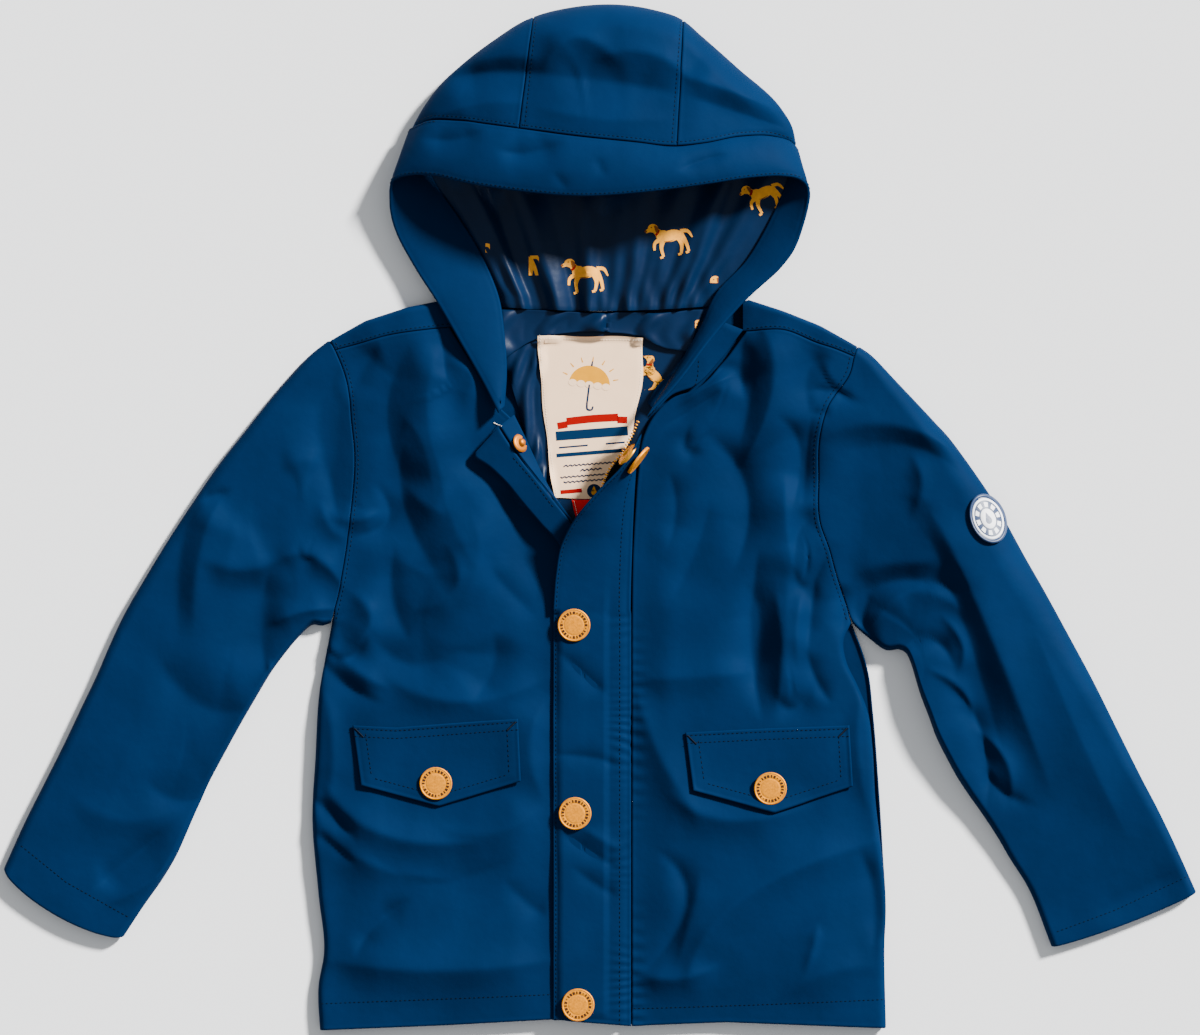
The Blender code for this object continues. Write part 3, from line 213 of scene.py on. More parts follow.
# %% Crease tables of the body and sleeves
CREASES = (
    # right front, above the pocket
    (-122, 118, -140, 76, -131, 30, 17, 26, -4.8),
    (-100, 122, -114, 76, -102, 24, 34, 24, 5.4),
    (-131, 42, -128, 4, -108, -36, 15, 22, -4.4),
    (-106, 36, -98, 0, -80, -34, 34, 24, 4.8),
    (-130, 66, -117, 50, -110, 18, 20, 13, 2.2),
    (-127, 20, -116, 10, -102, 2, 13, 10, 2.0),
    (-98, -22, -95, -47, -122, -61, 15, 9, 3.6),
    (-136, -22, -137, -52, -127, -78, 10, 15, -4.0),
    (-101, 101, -84, 92, -96, 64, 13, 10, 3.0),
    (-104, 123, -103, 106, -101, 92, 6, 7, -2.4),
    (-70, 22, -44, -8, -42, -58, 16, 24, -4.0),
    (-72, -34, -58, -50, -44, -64, 7, 9, -2.2),
    (-146, 113, -157, 98, -166, 78, 8, 9, -3.0),
    (-178, 2, -161, -1, -146, 4, 6, 6, 2.4),
    (-164, -12, -140, -2, -146, 20, 7, 8, -2.8),
    (-163, -50, -151, -68, -167, -89, 7, 9, 3.2),
    (-152, -74, -128, -96, -98, -90, 14, 16, -3.2),
    (-182, -86, -166, -93, -154, -78, 5, 6, -2.6),
    (-184, -92, -170, -108, -146, -122, 5, 8, -3.0),
    (-180, -82, -162, -100, -140, -112, 6, 7, 2.4),
    (-70, -78, -71, -100, -84, -121, 15, 16, -5.0),
    (-140, -106, -90, -121, -36, -106, 16, 11, 3.8),
    (-36, -120, -46, -150, -38, -184, 9, 14, 3.4),
    # right front, below the pocket
    (-180, -178, -144, -208, -84, -214, 15, 12, 5.0),
    (-186, -198, -152, -228, -98, -238, 10, 11, 2.8),
    (-104, -204, -66, -207, -36, -186, 13, 14, 2.6),
    (-150, -222, -110, -240, -60, -226, 12, 18, -2.4),
    (-188, -186, -176, -196, -162, -212, 6, 6, -2.8),
    (-188, -208, -176, -216, -162, -228, 5, 6, -2.2),
    (-160, -288, -148, -268, -126, -252, 7, 8, -3.0),
    (-176, -292, -106, -298, -33, -292, 17, 12, 4.2),
    (-182, -116, -176, -150, -179, -184, 9, 8, 2.2),
    (-84, 0, -80, -28, -92, -58, 16, 14, 2.2),
    (-62, -240, -48, -254, -36, -262, 8, 8, -2.0),
    # left front, above the pocket
    (107, 125, 114, 86, 94, 34, 26, 11, 6.0),
    (98, 114, 99, 84, 93, 52, 7, 14, -2.6),
    (72, 92, 88, 99, 97, 76, 5, 6, -2.2),
    (74, 53, 97, 16, 90, -30, 10, 16, -4.6),
    (59, 60, 56, 46, 68, 42, 5, 5, -2.4),
    (118, 66, 132, 44, 126, 6, 6, 14, -3.4),
    (122, 26, 123, -8, 129, -38, 14, 20, 7.0),
    (98, -46, 106, -76, 101, -112, 20, 14, -3.4),
    (124, -40, 122, -80, 124, -122, 14, 18, 3.0),
    (143, 4, 131, -8, 128, -34, 8, 8, -3.0),
    (151, 105, 137, 97, 139, 66, 13, 14, -4.4),
    (139, 66, 136, 40, 134, 12, 8, 10, -3.0),
    (128, -34, 136, -46, 150, -22, 5, 6, -2.6),
    (139, 84, 154, 83, 168, 76, 4, 6, -2.4),
    (138, 70, 145, 69, 152, 71, 3, 4, -2.0),
    (80, 84, 64, 73, 44, 61, 5, 3.5, -3.2),
    (88, 94, 70, 86, 52, 74, 4, 4, 2.2),
    (95, 120, 93, 100, 96, 82, 7, 9, -3.0),
    (46, 28, 50, 6, 45, -18, 8, 8, -2.2),
    (72, 8, 62, -24, 46, -56, 12, 16, -2.4),
    (142, -42, 139, -62, 137, -86, 5, 6, -3.4),
    (133, -50, 130, -70, 130, -94, 7, 7, 2.6),
    (158, -44, 161, -60, 158, -80, 6, 5, -3.6),
    (104, -26, 100, -78, 106, -128, 13, 8, -4.4),
    (116, -50, 120, -88, 116, -126, 10, 8, 3.2),
    (136, -88, 142, -106, 152, -121, 6, 5, -3.2),
    (116, -118, 128, -126, 140, -112, 6, 7, -2.4),
    (22, -106, 60, -105, 98, -102, 16, 12, 3.0),
    # left front, below the top of the pocket
    (24, -114, 40, -158, 64, -196, 14, 13, 3.8),
    (48, -182, 84, -199, 138, -190, 12, 14, 4.4),
    (58, -304, 92, -252, 180, -214, 18, 15, 6.0),
    (42, -222, 57, -254, 32, -296, 8, 7, -3.4),
    (66, -236, 60, -262, 52, -290, 8, 7, 1.8),
    (24, -300, 50, -304, 76, -296, 8, 9, 3.2),
    (120, -316, 150, -300, 182, -296, 12, 10, 1.8),
    (172, -222, 181, -250, 180, -284, 9, 7, -3.0),
    (143, -268, 141, -282, 135, -300, 3, 4, 1.8),
    (172, -116, 170, -150, 176, -190, 8, 8, 2.4),
    # right sleeve
    (-250, 12, -263, -20, -268, -70, 22, 13, 5.0),
    (-264, 8, -276, -20, -278, -72, 12, 18, -2.6),
    (-263, 13, -255, 15, -244, 17, 3, 4, -2.4),
    (-260, -28, -235, -34, -214, -28, 16, 9, 3.6),
    (-216, -29, -190, -25, -170, -45, 12, 8, 4.2),
    (-217, -32, -224, -66, -219, -104, 12, 24, -5.2),
    (-218, -70, -197, -62, -174, -60, 8, 6, 3.0),
    (-199, -18, -196, -27, -186, -25, 4, 5, -2.0),
    (-174, 96, -181, 56, -174, 6, 11, 12, -4.2),
    (-208, 33, -196, 38, -185, 34, 10, 12, 2.2),
    (-184, 10, -178, -6, -167, -13, 8, 7, 2.8),
    (-292, -92, -264, -123, -232, -126, 16, 16, -3.4),
    (-300, -172, -271, -187, -236, -165, 14, 14, -2.8),
    (-331, -242, -313, -228, -282, -202, 7, 9, -4.0),
    (-324, -254, -297, -240, -275, -219, 5, 6, 2.0),
    (-345, -186, -310, -200, -269, -187, 16, 14, 2.4),
    (-219, -94, -214, -108, -210, -121, 4, 5, 1.8),
    # left sleeve
    (152, 55, 196, 61, 242, 38, 16, 9, 4.0),
    (164, 44, 200, 48, 236, 32, 7, 14, -1.8),
    (206, 40, 212, 22, 206, 2, 12, 6, 3.2),
    (172, -72, 184, -44, 240, -46, 10, 10, -5.0),
    (168, -39, 192, -30, 238, -31, 12, 8, 2.4),
    (218, 3, 249, -58, 292, -165, 26, 14, 7.0),
    (216, -12, 236, -58, 264, -150, 15, 20, -4.0),
    (180, -69, 207, -48, 237, -60, 8, 10, 4.2),
    (197, -89, 217, -80, 232, -94, 6, 6, -4.6),
    (226, -66, 239, -84, 236, -102, 6, 5, 3.4),
    (223, -106, 250, -137, 255, -186, 8, 9, -5.0),
    (255, -166, 264, -180, 286, -189, 4, 6, -3.0),
    (248, -140, 267, -159, 271, -184, 6, 6, 2.8),
    (217, -100, 239, -114, 245, -131, 5, 6, 2.6),
    (176, -47, 173, -68, 185, -82, 5, 5, -3.0),
    (325, -264, 356, -247, 387, -235, 8, 9, -2.4),
    (288, -78, 317, -147, 345, -204, 16, 18, 2.8),
)
print(len(CREASES), "creases on the body and sleeves")


# %% Height of cloth that lies over the back
def lying(x, y, base):
    """Creased, but never pressed through what it lies on."""
    right = np.interp(y, (-60, 0, 40, 126), (-34, -50, -80, -104)) - x
    left = x - np.interp(y, (-60, 40, 85, 123), (24, 30, 60, 96))
    loft = np.where(x < 0, soft_step(right / 26), soft_step(left / 26))
    loft = loft * soft_step((175 - abs(x)) / 30) * soft_step((y + 337) / 40)
    over = base + LOFT * loft + crease_height(x, y, CREASES) + swell(x, y) - LOWEST
    puckers = np.sin(y / 1.35 + 2.2 * np.sin(y / 17)) * (1.0 + np.sin(y / 29))
    over = over + 0.35 * puckers * np.exp(-(((x - 24) / 5) ** 2)) * (y < -60)
    return LOWEST + 0.5 * (over + np.sqrt(over**2 + 1.0))


# %% [markdown]
# ## Finishes
# The outer cloth is a polyester with a matt waterproof coating: deep navy with a soft, broad
# sheen and a very fine grain. The grain is a bump from a noise texture on Object coordinates,
# and a second, larger noise shifts the colour a little, as dye and handling do. The
# lining is satin, so it is smoother and darker and shines along its gathers.


# %% A helper that builds a finish from nodes
def finish(name, colour, roughness, metallic=0.0, grain=(), tint=None, specular=0.5):
    """`grain` rows: size in mm, height in mm. `tint`: size in mm and share of the change."""
    made = bpy.data.materials.new(name)
    made.use_nodes = True
    nodes, links = made.node_tree.nodes, made.node_tree.links
    shader = nodes["Principled BSDF"]
    shader.inputs["Base Color"].default_value = (*colour, 1.0)
    shader.inputs["Roughness"].default_value = roughness
    shader.inputs["Metallic"].default_value = metallic
    shader.inputs["Specular IOR Level"].default_value = specular
    place = nodes.new("ShaderNodeTexCoord")

    def noise(size, detail=2.0):
        node = nodes.new("ShaderNodeTexNoise")
        node.inputs["Scale"].default_value = 1.0 / (size * MM)
        node.inputs["Detail"].default_value = detail
        links.new(place.outputs["Object"], node.inputs["Vector"])
        return node.outputs["Fac"]

    below = None
    for size, height in grain:
        bump = nodes.new("ShaderNodeBump")
        bump.inputs["Strength"].default_value = 1.0
        bump.inputs["Distance"].default_value = height * MM
        links.new(noise(size), bump.inputs["Height"])
        if below is not None:
            links.new(below, bump.inputs["Normal"])
        below = bump.outputs["Normal"]
    if below is not None:
        links.new(below, shader.inputs["Normal"])
    if tint is not None:
        size, share = tint
        ramp = nodes.new("ShaderNodeValToRGB")
        ramp.color_ramp.elements[0].position = 0.3
        ramp.color_ramp.elements[1].position = 0.7
        ramp.color_ramp.elements[0].color = (*[c * (1 - share) for c in colour], 1.0)
        ramp.color_ramp.elements[1].color = (*[c * (1 + share) for c in colour], 1.0)
        links.new(noise(size, 4.0), ramp.inputs["Fac"])
        links.new(ramp.outputs["Color"], shader.inputs["Base Color"])
        rough = nodes.new("ShaderNodeMapRange")
        rough.inputs["To Min"].default_value = roughness - 0.05
        rough.inputs["To Max"].default_value = roughness + 0.05
        links.new(noise(size * 0.4, 3.0), rough.inputs["Value"])
        links.new(rough.outputs["Result"], shader.inputs["Roughness"])
    return made


# %% The finishes of the coat
COATED = finish("coated cloth", (0.0001, 0.0120, 0.0440), 0.62, grain=((0.5, 0.03), (9.0, 0.25)),
                tint=(40.0, 0.10), specular=0.02)
SATIN = finish("lining satin", (0.0010, 0.0095, 0.0330), 0.36, grain=((0.4, 0.02), (9.0, 0.2)),
               tint=(25.0, 0.15), specular=0.12)
TAPE = finish("zip tape", (0.001, 0.006, 0.016), 0.7, grain=((0.6, 0.12),), tint=(3.0, 0.2),
              specular=0.1)
THREAD = finish("navy thread", (0.0004, 0.0028, 0.009), 0.6, grain=((0.2, 0.03),), specular=0.1)
COPPER = finish("copper cap", (0.72, 0.25, 0.004), 0.50, metallic=0.5, grain=((0.7, 0.05),),
                tint=(1.3, 0.22), specular=0.05)
DARK_COPPER = finish("dark copper", (0.40, 0.12, 0.01), 0.45, metallic=0.6, specular=0.1)
BRASS = finish("brass", (0.66, 0.30, 0.02), 0.40, metallic=0.7, grain=((0.4, 0.01),),
               tint=(2.0, 0.1), specular=0.1)
LABEL_CLOTH = finish("label cloth", (0.93, 0.62, 0.38), 0.85, grain=((0.5, 0.05),),
                     tint=(12.0, 0.03), specular=0.1)
RED_CLOTH = finish("red cloth", (0.75, 0.008, 0.008), 0.75, grain=((0.5, 0.06),), tint=(3.0, 0.08),
                   specular=0.1)
CREAM_THREAD = finish("cream thread", (0.85, 0.78, 0.66), 0.7, grain=((0.2, 0.03),))
RUBBER = finish("badge rubber", (0.004, 0.022, 0.075), 0.45, grain=((0.3, 0.01),),
                tint=(2.0, 0.05))
WHITE_RUBBER = finish("white rubber", (0.85, 0.85, 0.86), 0.5, specular=0.3)
GOLD_PRINT = finish("gold print", (0.82, 0.34, 0.03), 0.7, tint=(4.0, 0.1), specular=0.1)
BROWN_PRINT = finish("brown print", (0.20, 0.06, 0.01), 0.7, specular=0.1)
YELLOW_PRINT = finish("yellow print", (0.66, 0.27, 0.001), 0.85, tint=(5.0, 0.05), specular=0.02)
NAVY_PRINT = finish("navy print", (0.001, 0.018, 0.055), 0.85, specular=0.05)
RED_PRINT = finish("red print", (0.27, 0.001, 0.002), 0.85, specular=0.02)
DARK_MARK = finish("dark mark", (0.035, 0.012, 0.006), 0.7, specular=0.1)
print(len(bpy.data.materials), "finishes")

# %% [markdown]
# ## The shell builder
# Every cut piece starts as a grid of points on its outer face. The builder finds the normals,
# puts the other face a wall's thickness inside, and lets the thickness run out in a quarter
# round towards every open edge, so that both faces share the points of the rim. That gives
# a closed mesh with the soft edge of a turned and pressed seam, and a small valley wherever
# two pieces are sewn together.

# %% The shell builder
SURFACES = {}  # the tree of each piece's faces, to lay other pieces on
GRIDS = {}  # each piece's outer points, to sew along


def put_in_scene(name, data):
    made = bpy.data.objects.new(name, data)
    bpy.context.scene.collection.objects.link(made)
    return made


def add_mesh(name, points, faces, material, smooth=True):
    """One object from points in millimetres."""
    mesh = bpy.data.meshes.new(name)
    mesh.from_pydata((np.asarray(points) * MM).tolist(), [], faces)
    if smooth:
        mesh.shade_smooth()
        mesh.set_sharp_from_angle(angle=math.radians(60))
    mesh.materials.append(material)
    made = put_in_scene(name, mesh)
    SURFACES[name] = BVHTree.FromPolygons([tuple(p) for p in np.asarray(points).tolist()], faces)
    return made


def normals_of(grid, ring=False, inside=(0, 0, -1e5)):
    """Outward normals of a grid, and whether its faces have to be turned."""
    if ring:
        across = np.roll(grid, -1, axis=1) - np.roll(grid, 1, axis=1)
    else:
        across = np.gradient(grid, axis=1)
    out = np.cross(across, np.gradient(grid, axis=0))
    size = np.linalg.norm(out, axis=2, keepdims=True)
    out /= np.maximum(size, 1e-9)
    turned = (out * (grid - np.array(inside, float))).sum() < 0
    return (-out if turned else out), turned


def shell(name, grid, material, thick=WALL, ring=False, inside=(0, 0, -1e5), keep=None,
          centred=False, sewn=()):
    """A closed shell of cloth; `sewn` rows press a stitch line in: distance from the rim, depth."""
    grid = np.array(grid, float)
    rows, columns = grid.shape[:2]
    out, turned = normals_of(grid, ring, inside)
    middle = grid if centred else grid - out * (thick / 2)
    i, j = np.meshgrid(np.arange(rows - 1), np.arange(columns if ring else columns - 1), indexing="ij")
    cells = np.ones(i.shape, bool) if keep is None else np.array(keep, bool)
    i, j = i[cells], j[cells]
    after = (j + 1) % columns
    quads = np.stack((i * columns + j, i * columns + after, (i + 1) * columns + after,
                      (i + 1) * columns + j), axis=1)
    if turned:
        quads = quads[:, ::-1]
    edges = np.concatenate([quads[:, [k, (k + 1) % 4]] for k in range(4)])
    keys = np.sort(edges, axis=1)
    keys = keys[:, 0] * rows * columns + keys[:, 1]
    found, counts = np.unique(keys, return_counts=True)
    single = found[counts == 1]
    rim_edges = np.stack((single // (rows * columns), single % (rows * columns)), axis=1)
    rim = np.unique(rim_edges)
    flat = middle.reshape(-1, 3)
    normal = out.reshape(-1, 3)
    tree = KDTree(2 * len(rim_edges))
    for number, (a, b) in enumerate(rim_edges):
        tree.insert(flat[a], 2 * number)
        tree.insert((flat[a] + flat[b]) / 2, 2 * number + 1)
    tree.balance()
    away = np.array([tree.find(p)[2] for p in flat])
    away[rim] = 0.0
    half = thick / 2 * quarter(away / (0.6 * thick))
    for distance, depth in sewn:
        half = half - depth * np.exp(-(((away - distance) / 0.8) ** 2))
    half = np.maximum(half, np.where(away > 0, 0.05, 0.0))
    outer = flat + normal * half[:, None]
    inner = flat - normal * half[:, None]
    inner_index = np.arange(rows * columns) + rows * columns
    inner_index[rim] = rim
    faces = np.concatenate((quads, inner_index[quads[:, ::-1]]))
    used = np.unique(faces)
    new_index = np.zeros(2 * rows * columns, int)
    new_index[used] = np.arange(len(used))
    points = np.concatenate((outer, inner))[used]
    made = add_mesh(name, points, new_index[faces].tolist(), material)
    GRIDS[name] = outer.reshape(grid.shape)
    area = np.linalg.norm(np.cross(flat[quads[:, 2]] - flat[quads[:, 0]],
                                   flat[quads[:, 3]] - flat[quads[:, 1]]), axis=1).sum() / 2
    print(f"{name}: {2 * len(faces)} triangles, {area / 100:.0f} cm2 of cloth")
    return made


def height_over(names, x, y, reach=2.5):
    """The highest that the named pieces come near each x, y."""
    around = [(0.0, 0.0)]
    if reach > 0:
        around += [(reach * math.cos(a), reach * math.sin(a)) for a in np.arange(0, 6.28, 1.047)]
    down = Vector((0.0, 0.0, -1.0))
    heights = []
    for px, py in zip(np.ravel(x), np.ravel(y)):
        highest = 0.0
        for name in names:
            for dx, dy in around:
                hit = SURFACES[name].ray_cast(Vector((px + dx, py + dy, 200.0)), down)[0]
                if hit is not None:
                    highest = max(highest, hit.z)
        heights.append(highest)
    return np.reshape(heights, np.shape(x))


# %% [markdown]
# ## Outlines of the body
# Each front runs from its side fold to the zip, and above the underarm from the armhole seam
# to the neckline. The lines are the same as those of the solids.

# %% Outlines of the body
SIDE_RIGHT = (
    (-185, -337), (-186, -308), (-182.5, -288), (-186, -248), (-190, -198),
    (-188, -158), (-185, -112), (-181, -90), (-177, -69),
)
SIDE_LEFT = (
    (189, -336), (188, -282), (189, -261), (187, -220), (184, -172),
    (180.5, -128), (177, -100), (172, -84), (166, -69),
)
SIDE_LEFT_FRONT = (
    (189, -336), (188, -282), (188.5, -261), (187, -230), (182, -185),
    (180, -150), (177, -128), (170, -110), (163, -95), (161, -82), (166, -69),
)
ARMHOLE_RIGHT = (
    (-178, 117), (-174, 109), (-167, 90), (-164, 63), (-162, 43),
    (-164, 7), (-167, -18), (-171, -43), (-177, -69),
)
ARMHOLE_LEFT = (
    (170, 113), (168, 108), (165, 96), (150, 73), (145, 55), (144, 26),
    (145, -3), (151, -20), (156, -38), (161, -53), (166, -69),
)
ZIP_RIGHT = ((2, -331.5), (2, -200), (2, -69))
NECK_RIGHT = (
    (2, -69), (1.5, -42), (-5, -20), (-20, -3), (-33, 13.5), (-44, 34), (-51, 52),
    (-57, 64), (-66, 73), (-74, 86), (-82, 99), (-91, 113), (-99, 126),
)
ZIP_LEFT = ((20.8, -335), (20.8, -200), (20.8, -69))
NECK_LEFT = (
    (20.8, -69), (21.5, -22), (23, 5), (25, 30), (29, 55), (36, 68), (47.5, 79),
    (62.7, 85), (80, 101), (96.5, 123),
)
SHOULDER_RIGHT = ((-174.8, 110.6), (-158, 115), (-141, 120), (-120, 123.5), (-99, 126))
SHOULDER_LEFT = ((167.6, 106.4), (155, 111.5), (144, 115), (121, 124), (96.5, 123))
BACK_TOP = (
    (-178, 117), (-155, 130), (-127, 139), (-104, 143.5), (-67, 141), (0, 136.5),
    (67, 141), (98, 144), (121, 136.5), (145, 127), (170, 113),
)
HEM = ((-185, -338), (-100, -334.5), (-31, -330.7), (20, -335), (83, -332.6), (189, -336.6))
SHOULDER_AT = 0.038  # how far down the armhole the shoulder seam meets it

# %% [markdown]
# ## The fronts
# A front is one grid. Its rows run across the body; those below the underarm end in the
# rolled side fold, those above end flat at the armhole seam, and the topmost rows bend until
# the last one lies on the shoulder seam.


# %% The fronts
SIDE_LENGTH = 270.0  # from the hem to the underarm, roughly
ARMHOLE_LENGTH = 190.0


def up_the_side(count):
    """Places along a side fold, with the first few close to the hem for its roll."""
    near = NEAR / SIDE_LENGTH
    return np.concatenate((near[:-1], np.linspace(near[-1], 1, count)))


def bend_to_hem(plan, more=0.0):
    """Move the lowest rows of a grid onto the hem's own line."""
    share = soft_step((-250 - plan[..., 1]) / 85)
    hem = np.interp(plan[..., 0], *np.array(HEM).T) + more
    plan[..., 1] += share * (hem - plan[0, :, 1])


def front(name, side, armhole_table, zip_line, neck, shoulder):
    lower = up_the_side(136)
    near_shoulder = SHOULDER_AT + NEAR[4::-1] / ARMHOLE_LENGTH
    armhole_at = np.concatenate((np.linspace(1, SHOULDER_AT + 0.02, 92), near_shoulder))
    upper_side = along(armhole_table, armhole_at)
    length = length_along(upper_side)
    upper_inner = along(neck, length / length[-1])
    outer_edge = np.concatenate((along(side, lower)[:-1], upper_side))
    inner_edge = np.concatenate((along(zip_line, lower)[:-1], upper_inner))
    width = np.linalg.norm(inner_edge - outer_edge, axis=1)
    fractions = spaced(width, 1.9)
    plan = between(outer_edge, inner_edge, fractions)
    bend_to_hem(plan)
    seam = along(shoulder, fractions[-1])
    lift = np.append(np.zeros(len(lower) - 1), soft_step((0.5 - armhole_at) / (0.5 - SHOULDER_AT)))
    plan += lift[:, None, None] * (seam - plan[-1])[None]
    x, y = plan[..., 0], plan[..., 1]
    away = fractions * width[:, None]
    upper = np.append(np.zeros(len(lower) - 1), length)
    folded = np.where(upper > 0, np.clip(1 - upper / 7, 0, 1), 1.0)[:, None]
    level = lying(x, y, TOP)
    rolled = EDGE + 0.15 + (level - EDGE - 0.15) * quarter(away / ROLL)
    grid = np.dstack((x, y, level + folded * (rolled - level)))
    return shell(name, grid, COATED, sewn=((3.0, 0.12),))


front("right_front_cloth", SIDE_RIGHT, ARMHOLE_RIGHT, ZIP_RIGHT, NECK_RIGHT, SHOULDER_RIGHT)
front("left_front_cloth", SIDE_LEFT_FRONT, ARMHOLE_LEFT, ZIP_LEFT, NECK_LEFT, SHOULDER_LEFT)

# %% [markdown]
# ## The back
# The back lies on the floor and rolls over both shoulders to seams that lie forward of the
# fold, so it is one grid whose last rows turn up and over, with the stretch at the neck left
# out of them. It is hidden for the most part, so its cells are larger.


# %% The back
def back():
    lower = up_the_side(60)
    upper = np.linspace(1, 0, 44)
    right_edge = np.concatenate((along(SIDE_RIGHT, lower)[:-1], along(ARMHOLE_RIGHT, upper)))
    left_edge = np.concatenate((along(SIDE_LEFT, lower)[:-1], along(ARMHOLE_LEFT, upper)))
    width = np.linalg.norm(left_edge - right_edge, axis=1)
    fractions = spaced(width, 4.4)
    plan = between(right_edge, left_edge, fractions)
    first_upper = len(lower) - 1
    rise = (plan[:, 0, 1] - plan[first_upper, 0, 1]) / (plan[-1, 0, 1] - plan[first_upper, 0, 1])
    top = np.interp(plan[-1, :, 0], *np.array(BACK_TOP).T)
    bend = np.clip(rise, 0, 1)[:, None] ** 1.5
    plan[..., 1] += bend * (top - plan[-1, :, 1])[None]
    bend_to_hem(plan, more=1.0)
    away = np.minimum(fractions, 1 - fractions) * width[:, None]
    folded = np.clip(1 - (np.arange(len(plan)) - first_upper) / 4, 0, 1)[:, None]
    height = folded * (EDGE - 0.15) * (1 - quarter(away / ROLL))
    crest = plan[-1]
    seam_x = crest[:, 0].copy()
    shift = np.array((SHOULDER_RIGHT[0][0] - seam_x[0], SHOULDER_LEFT[0][0] - seam_x[-1]))
    for k, share in enumerate((1.0, 0.95, 0.85, 0.7, 0.6, 0.5, 0.3, 0.1)):
        seam_x[k] += share * shift[0]
        seam_x[-1 - k] += share * shift[1]
    fine = np.linspace(0, 1, 60)
    seam_y = np.where(
        seam_x < 0,
        np.interp(seam_x, *along(SHOULDER_RIGHT, fine).T),
        np.interp(seam_x, *along(SHOULDER_LEFT, fine)[::-1].T),
    )
    over = []
    turn = (0.0, 0.01, 0.04, 0.08, 0.14, 0.22, 0.32, 0.45, 0.58, 0.7, 0.8, 0.87, 0.92, 0.96, 0.985, 1.0)
    for share in turn:
        row_x = crest[:, 0] + (seam_x - crest[:, 0]) * share
        row_y = crest[:, 1] + (seam_y + SEAM - crest[:, 1]) * share
        target = lying(row_x, row_y, TOP)
        over.append(np.stack((row_x, row_y, target * (0.45 + 0.55 * quarter(share / 0.2))), axis=1))
    grid = np.concatenate((np.dstack((plan, height)), np.array(over)))
    shoulder = (crest[:-1, 0] < -97) | (crest[1:, 0] > 94.5)
    keep = np.ones((len(grid) - 1, grid.shape[1] - 1), bool)
    keep[len(plan) - 1:] = shoulder[None]
    return shell("back_cloth", grid, COATED, inside=(0, 60, 4.0), keep=keep, sewn=((3.0, 0.12),))


back()

# %% [markdown]
# ## The sleeves
# A lying sleeve is a flattened tube. Each row of a table is one section of it: the outer fold,
# the inner fold, how far the section bows towards the cuff, the height of its top and how far
# in from the outer fold it is rounded. The first rings bend onto the armhole seam.

# %% Sleeve sections
SLEEVE_RIGHT = (
    (-178.0, 117, -177.0, -69, 0.0, 8.0, 5.0),
    (-190.7, 107, -183.0, -71, 0.0, 8.0, 6.0),
    (-205.0, 92, -190.7, -71, 0.0, 8.5, 7.0),
    (-218.5, 76.6, -200.0, -80, 0.0, 9.0, 8.0),
    (-235.0, 56, -209.0, -91, 0.0, 9.5, 9.0),
    (-251.5, 35, -217.0, -102, 0.0, 10.0, 10.0),
    (-268.0, 11, -226.0, -117, 0.0, 10.0, 10.0),
    (-285.0, -15, -237.6, -137, 0.0, 10.0, 10.0),
    (-299.0, -38, -248.0, -156, 0.0, 9.5, 9.0),
    (-313.0, -62, -257.4, -173.6, 1.0, 9.0, 8.0),
    (-323.0, -83, -263.0, -186, 2.0, 9.0, 8.0),
    (-332.0, -104, -268.0, -197, 3.0, 9.0, 7.0),
    (-343.0, -127, -274.0, -211, 4.0, 9.0, 7.0),
    (-354.4, -151, -280.0, -224, 5.0, 8.8, 7.0),
    (-367.0, -176, -289.0, -239, 7.0, 8.4, 6.0),
    (-379.5, -201, -301.0, -256, 8.5, 8.0, 6.0),
    (-393.4, -231.7, -314.5, -276.5, 9.5, 7.7, 6.0),
)
SLEEVE_LEFT = (
    (170.0, 113, 166.0, -69, 0.0, 8.0, 5.0),
    (179.5, 106, 171.0, -74, 0.0, 8.6, 7.0),
    (194.0, 91, 177.0, -79, 0.0, 9.6, 10.0),
    (208.6, 76, 188.0, -87, 0.0, 11.5, 13.0),
    (221.0, 63, 198.0, -87, 0.0, 13.5, 17.0),
    (233.0, 49.5, 204.0, -93, 0.0, 15.5, 21.0),
    (254.0, 20, 211.0, -115.5, 0.0, 17.0, 25.0),
    (267.0, -1.3, 216.5, -130, 0.0, 17.0, 25.0),
    (280.0, -25, 221.8, -144.5, 0.0, 16.0, 24.0),
    (293.7, -49, 228.5, -158, 0.0, 14.5, 20.0),
    (309.5, -78, 235.6, -171, 0.0, 13.0, 16.0),
    (325.4, -107.6, 243.5, -183, 0.5, 11.5, 13.0),
    (341.0, -139, 252.0, -195, 1.0, 10.4, 10.0),
    (357.0, -171, 262.5, -211, 1.5, 9.4, 8.0),
    (368.0, -192, 270.0, -224, 2.0, 8.6, 7.0),
    (380.0, -217, 284.0, -247, 2.5, 8.1, 6.0),
    (393.4, -247, 298.0, -283, 3.0, 7.7, 6.0),
)


